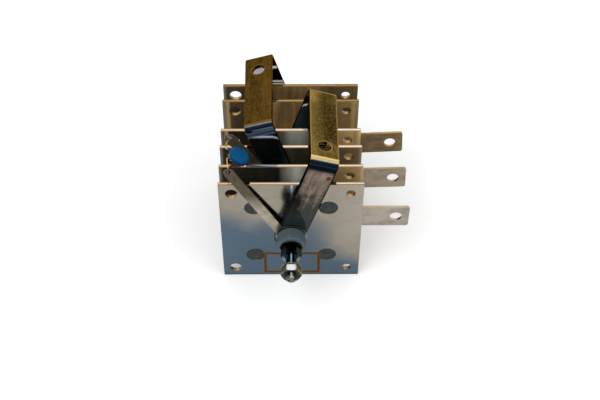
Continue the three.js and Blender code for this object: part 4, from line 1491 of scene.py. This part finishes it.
class RECTIFIER_OT_end_fittings(RectifierOperator):
    """Collars, lock washers, nuts and washers at both ends of the stud"""

    bl_idname = "rectifier.end_fittings"
    bl_label = "End fittings"

    COLLAR_EDGE = 0.0018
    WASHER_EDGE = 0.0003
    NUT_STEPS = 144
    NUT_SLOPE = math.tan(math.radians(30))
    FACE_INSET = 0.0002
    BORE_CHAMFER = 0.0004
    CORNER_DROP = 0.001
    TOOTH_STEPS = 8
    TOOTH = (0.2, 0.94)
    TOOTH_MIDDLE = 0.55
    LOCK_EDGE = 0.0002

    def nut(self, size, height):
        """A six-sided nut: a turned body whose outer rings are drawn out to its flats and corners."""
        flat = size.nut_flats / 2
        bore = size.nut_bore / 2
        chamfer, drop = self.BORE_CHAMFER, self.CORNER_DROP
        face = flat - self.FACE_INSET
        corner = flat / math.cos(math.pi / 6)
        mouth = bore + chamfer
        profile = [
            (bore, chamfer), (mouth, 0), (face, 0), (corner, drop), (corner, height / 2),
            (corner, height - drop), (face, height), (mouth, height), (bore, height - chamfer),
        ]
        bm = turned(profile, steps=self.NUT_STEPS, closed=True)
        for vert in bm.verts:
            out = math.hypot(vert.co.x, vert.co.y)
            if out < face + self.FACE_INSET:
                continue
            bearing = (math.atan2(vert.co.y, vert.co.x) + TURN) % (TURN / 6) - TURN / 12
            wide = flat / math.cos(bearing)
            vert.co.xy *= wide / out
            drop = (wide - face) * self.NUT_SLOPE
            if vert.co.z < height / 3:
                vert.co.z = drop
            elif vert.co.z > height * 2 / 3:
                vert.co.z = height - drop
        bmesh.ops.recalc_face_normals(bm, faces=bm.faces[:])
        return bm

    def lock_washer(self, size, height):
        """A toothed washer: gaps drawn in from the outer ring, and teeth twisted out of its plane."""
        outer = size.lock_washer / 2
        root = outer - size.tooth_depth
        bore = size.nut_bore / 2
        edge = self.LOCK_EDGE
        ring = root - 2 * edge
        profile = [
            (bore, edge), (bore + edge, 0), (ring, 0), (outer, 0), (outer, height),
            (ring, height), (bore + edge, height), (bore, height - edge),
        ]
        bm = turned(profile, steps=size.teeth * self.TOOTH_STEPS, closed=True)
        for vert in bm.verts:
            out = math.hypot(vert.co.x, vert.co.y)
            if out < outer - MERGE:
                continue
            phase = (math.atan2(vert.co.y, vert.co.x) / TURN * size.teeth) % 1
            if not self.TOOTH[0] <= phase <= self.TOOTH[1]:
                vert.co.xy *= root / out
            else:
                vert.co.z += (phase - self.TOOTH_MIDDLE) * 2 * size.tooth_twist
                vert.co.z = min(max(vert.co.z, 0), height)
        return bm

    def build(self):
        size = settings().hardware
        look = settings().finish
        bore = settings().plates.stud_hole / 2
        collar_look = plastic_finish("Collar plastic", look.collar, 0.42)
        # The mounting nuts with a painted highlight and painted shade on their fronts; the clamp nuts and lock
        # washers with a painted reflection low on theirs.
        zinc = plated_finish("Bright zinc", look.yellow, look.zinc_dark, look.zinc, front=0.9)
        steel = shade(look.zinc_dark, 1.6)
        dark = plated_finish("Dark zinc", steel, look.zinc_dark, look.zinc_dark, front_reflection=look.zinc_reflection)
        yellow = plated_finish("Yellow zinc", look.yellow, shade(look.yellow, 0.4), look.yellow)
        for end in ENDS:
            collar, lock = f"{end}_collar", f"{end}_lock_washer"
            clamp, nut, washer = f"{end}_clamp_nut", f"{end}_mounting_nut", f"{end}_mounting_washer"
            ring = tube(washer, size.nut_bore / 2, self.WASHER_EDGE, size.mounting_washer / 2)
            for node, suffix, bm, finish, slot, body in (
                (collar, "ring", tube(collar, bore, self.COLLAR_EDGE), collar_look, "collar_plastic", STACK),
                (lock, "toothed", self.lock_washer(size, thickness(lock)), dark, "zinc_steel", STACK),
                (washer, "disc", ring, yellow, "yellow_zinc", f"{end}_washer"),
                (clamp, "hex", self.nut(size, thickness(clamp)), dark, "zinc_steel", STACK),
                (nut, "hex", self.nut(size, thickness(nut)), zinc, "yellow_zinc", f"{end}_nut"),
            ):
                add_turned(node, suffix, bm, finish, body)


class RECTIFIER_OT_markings(RectifierOperator):
    """The bare rating frame on the front plate and the paint dot on the minus strap"""

    bl_idname = "rectifier.markings"
    bl_label = "Rating frame and paint dot"

    FRAME_CORNER = 0.0006
    DOT_RADIUS = 0.0016
    DOT_STRETCH = 1.2
    DOT_STEPS = 24
    DOT_ACROSS = 0.0068
    DOT_ALONG = 0.0642

    def build(self):
        size = settings().label
        bm = bmesh.new()
        outline(bm, rectangle(size.left, size.bottom, size.right, size.top, self.FRAME_CORNER))
        inset = size.border
        outline(bm, rectangle(size.left + inset, size.bottom + inset, size.right - inset, size.top - inset))
        fill_and_thicken(bm, size.ink)
        turn_about(bm, "X", math.pi / 2)
        move(bm, 0, PLATE_LOW.y, 0)
        look = settings().finish
        ink = uneven_finish("Amber ink", look.border, 0.002, 4, 0.4, 0.6, (0.1, 0.00002), specular=0.05)
        add_piece("rating_frame_border", bm, ink, even=False)

        radius = self.DOT_RADIUS
        profile = [(0, 0), (radius, 0), (radius * 0.8, 0.00012), (radius * 0.4, 0.0002), (0, 0.00022)]
        dot = turned(profile, steps=self.DOT_STEPS)
        for vert in dot.verts:
            vert.co.y *= self.DOT_STRETCH
        lay_along(dot, self.DOT_ACROSS, 0, self.DOT_ALONG, backwards=True)
        turn_about(dot, "Y", settings().straps.lean)
        move(dot, 0, depths("minus_bus_strap")[0], STUD_HEIGHT)
        paint = uneven_finish(
            "Marking paint", look.paint, 0.0008, 3, 0.35, 0.6, (0.3, 0.0001), roughness=0.4, specular=0.2
        )
        add_piece("paint_dot", dot, paint, even=False)


# Stage


class RECTIFIER_OT_stage(RectifierOperator):
    """A pale floor, a plain world, soft lamps and the camera"""

    bl_idname = "rectifier.stage"
    bl_label = "Stage"

    LAMPS = (
        ("Key", (-0.65, -0.6, 1.25), 1.1, 8.0),
        ("Fill", (0.9, -0.4, 1.1), 1.1, 4.0),
    )
    AIM = Vector((0, 0.04, 0.06))
    WHITE = (0.16, 0.6, 0.22, 0.5)
    FLOOR_SIZE = 3
    FLOOR_GAP = 0.0002
    SENSOR = 36

    def world(self, sky):
        """A plain white world, whose strength is set for diffuse light alone."""
        world = bpy.data.worlds.new("Studio")
        bpy.context.scene.world = world
        world.use_nodes = True
        nodes = Nodes(world.node_tree)
        ground = nodes.tree.nodes["Background"].inputs
        nodes.join(nodes.spread(nodes.seen_by(), 0, 1, sky, 1), ground["Strength"])
        nodes.join((1, 1, 1), ground["Color"])

    def floor(self, brightness):
        """A pale floor that looks white a little way from the stack."""
        bm = bmesh.new()
        bmesh.ops.create_grid(bm, x_segments=1, y_segments=1, size=self.FLOOR_SIZE)
        floor = new_object("floor", new_mesh("floor", bm))
        floor.location.z = -self.FLOOR_GAP
        finish = Finish("Floor", roughness=0.9, specular=0)
        place = finish.tree.nodes.new("ShaderNodeNewGeometry").outputs["Position"]
        away = finish.node("VectorMath", {0: place}, "Value", operation="LENGTH")
        white = finish.both(finish.seen_by(), finish.spread(away, *self.WHITE))
        finish.join(white, finish.inputs["Emission Strength"])
        finish.join((1, 1, 1), finish.inputs["Emission Color"])
        floor.data.materials.append(finish.made((brightness,) * 3))

    def lamps(self):
        """Soft round lamps that face the stack."""
        for name, place, size, power in self.LAMPS:
            light = bpy.data.lights.new(name, "AREA")
            light.shape = "DISK"
            light.size = size
            light.energy = power
            lamp = new_object(name, light)
            lamp.location = place
            lamp.rotation_euler = (self.AIM - Vector(place)).to_track_quat("-Z", "Y").to_euler()

    def camera(self, size):
        """The photograph's camera, from its place, its pitch, yaw and roll."""
        data = bpy.data.cameras.new("Camera")
        data.lens = size.lens
        data.sensor_width = self.SENSOR
        camera = new_object("Camera", data)
        reach = math.cos(size.pitch)
        ahead = Vector((math.sin(size.yaw) * reach, math.cos(size.yaw) * reach, -math.sin(size.pitch)))
        level = Vector((math.cos(size.yaw), -math.sin(size.yaw), 0))
        over = level.cross(ahead)
        right = level * math.cos(size.roll) + over * math.sin(size.roll)
        top = over * math.cos(size.roll) - level * math.sin(size.roll)
        turn = Matrix((right, top, -ahead)).transposed().to_4x4()
        camera.matrix_world = Matrix.Translation((size.camera_x, size.camera_y, size.camera_z)) @ turn
        bpy.context.scene.camera = camera

    def build(self):
        size = settings().stage
        self.world(size.sky)
        self.floor(size.floor)
        self.lamps()
        self.camera(size)
        bpy.context.scene.view_settings.view_transform = "Standard"


class RECTIFIER_PT_panel(bpy.types.Panel):
    """Lists the stack's operators"""

    bl_label = "Plate rectifier"
    bl_space_type = "VIEW_3D"
    bl_region_type = "UI"
    bl_category = "Rectifier"

    def draw(self, context):
        for operator in OPERATORS:
            self.layout.operator(operator.bl_idname)


GROUPS = (
    PlateSettings,
    DiodeSettings,
    TerminalSettings,
    StrapSettings,
    HardwareSettings,
    LabelSettings,
    StageSettings,
    FinishSettings,
    RectifierSettings,
)
OPERATORS = (
    RECTIFIER_OT_stage,
    RECTIFIER_OT_cooling_plates,
    RECTIFIER_OT_diodes,
    RECTIFIER_OT_spacers,
    RECTIFIER_OT_terminals,
    RECTIFIER_OT_bus_straps,
    RECTIFIER_OT_collector,
    RECTIFIER_OT_solder_lugs,
    RECTIFIER_OT_suppressor,
    RECTIFIER_OT_stud,
    RECTIFIER_OT_end_fittings,
    RECTIFIER_OT_markings,
)
CLASSES = (*GROUPS, *OPERATORS, RECTIFIER_PT_panel)


def register():
    for cls in CLASSES:
        bpy.utils.register_class(cls)
    bpy.types.Scene.rectifier = PointerProperty(type=RectifierSettings)


def unregister():
    del bpy.types.Scene.rectifier
    for cls in reversed(CLASSES):
        bpy.utils.unregister_class(cls)


def main():
    """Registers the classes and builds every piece."""
    register()
    for operator in OPERATORS:
        group, name = operator.bl_idname.split(".")
        getattr(getattr(bpy.ops, group), name)()


if __name__ == "__main__":
    main()
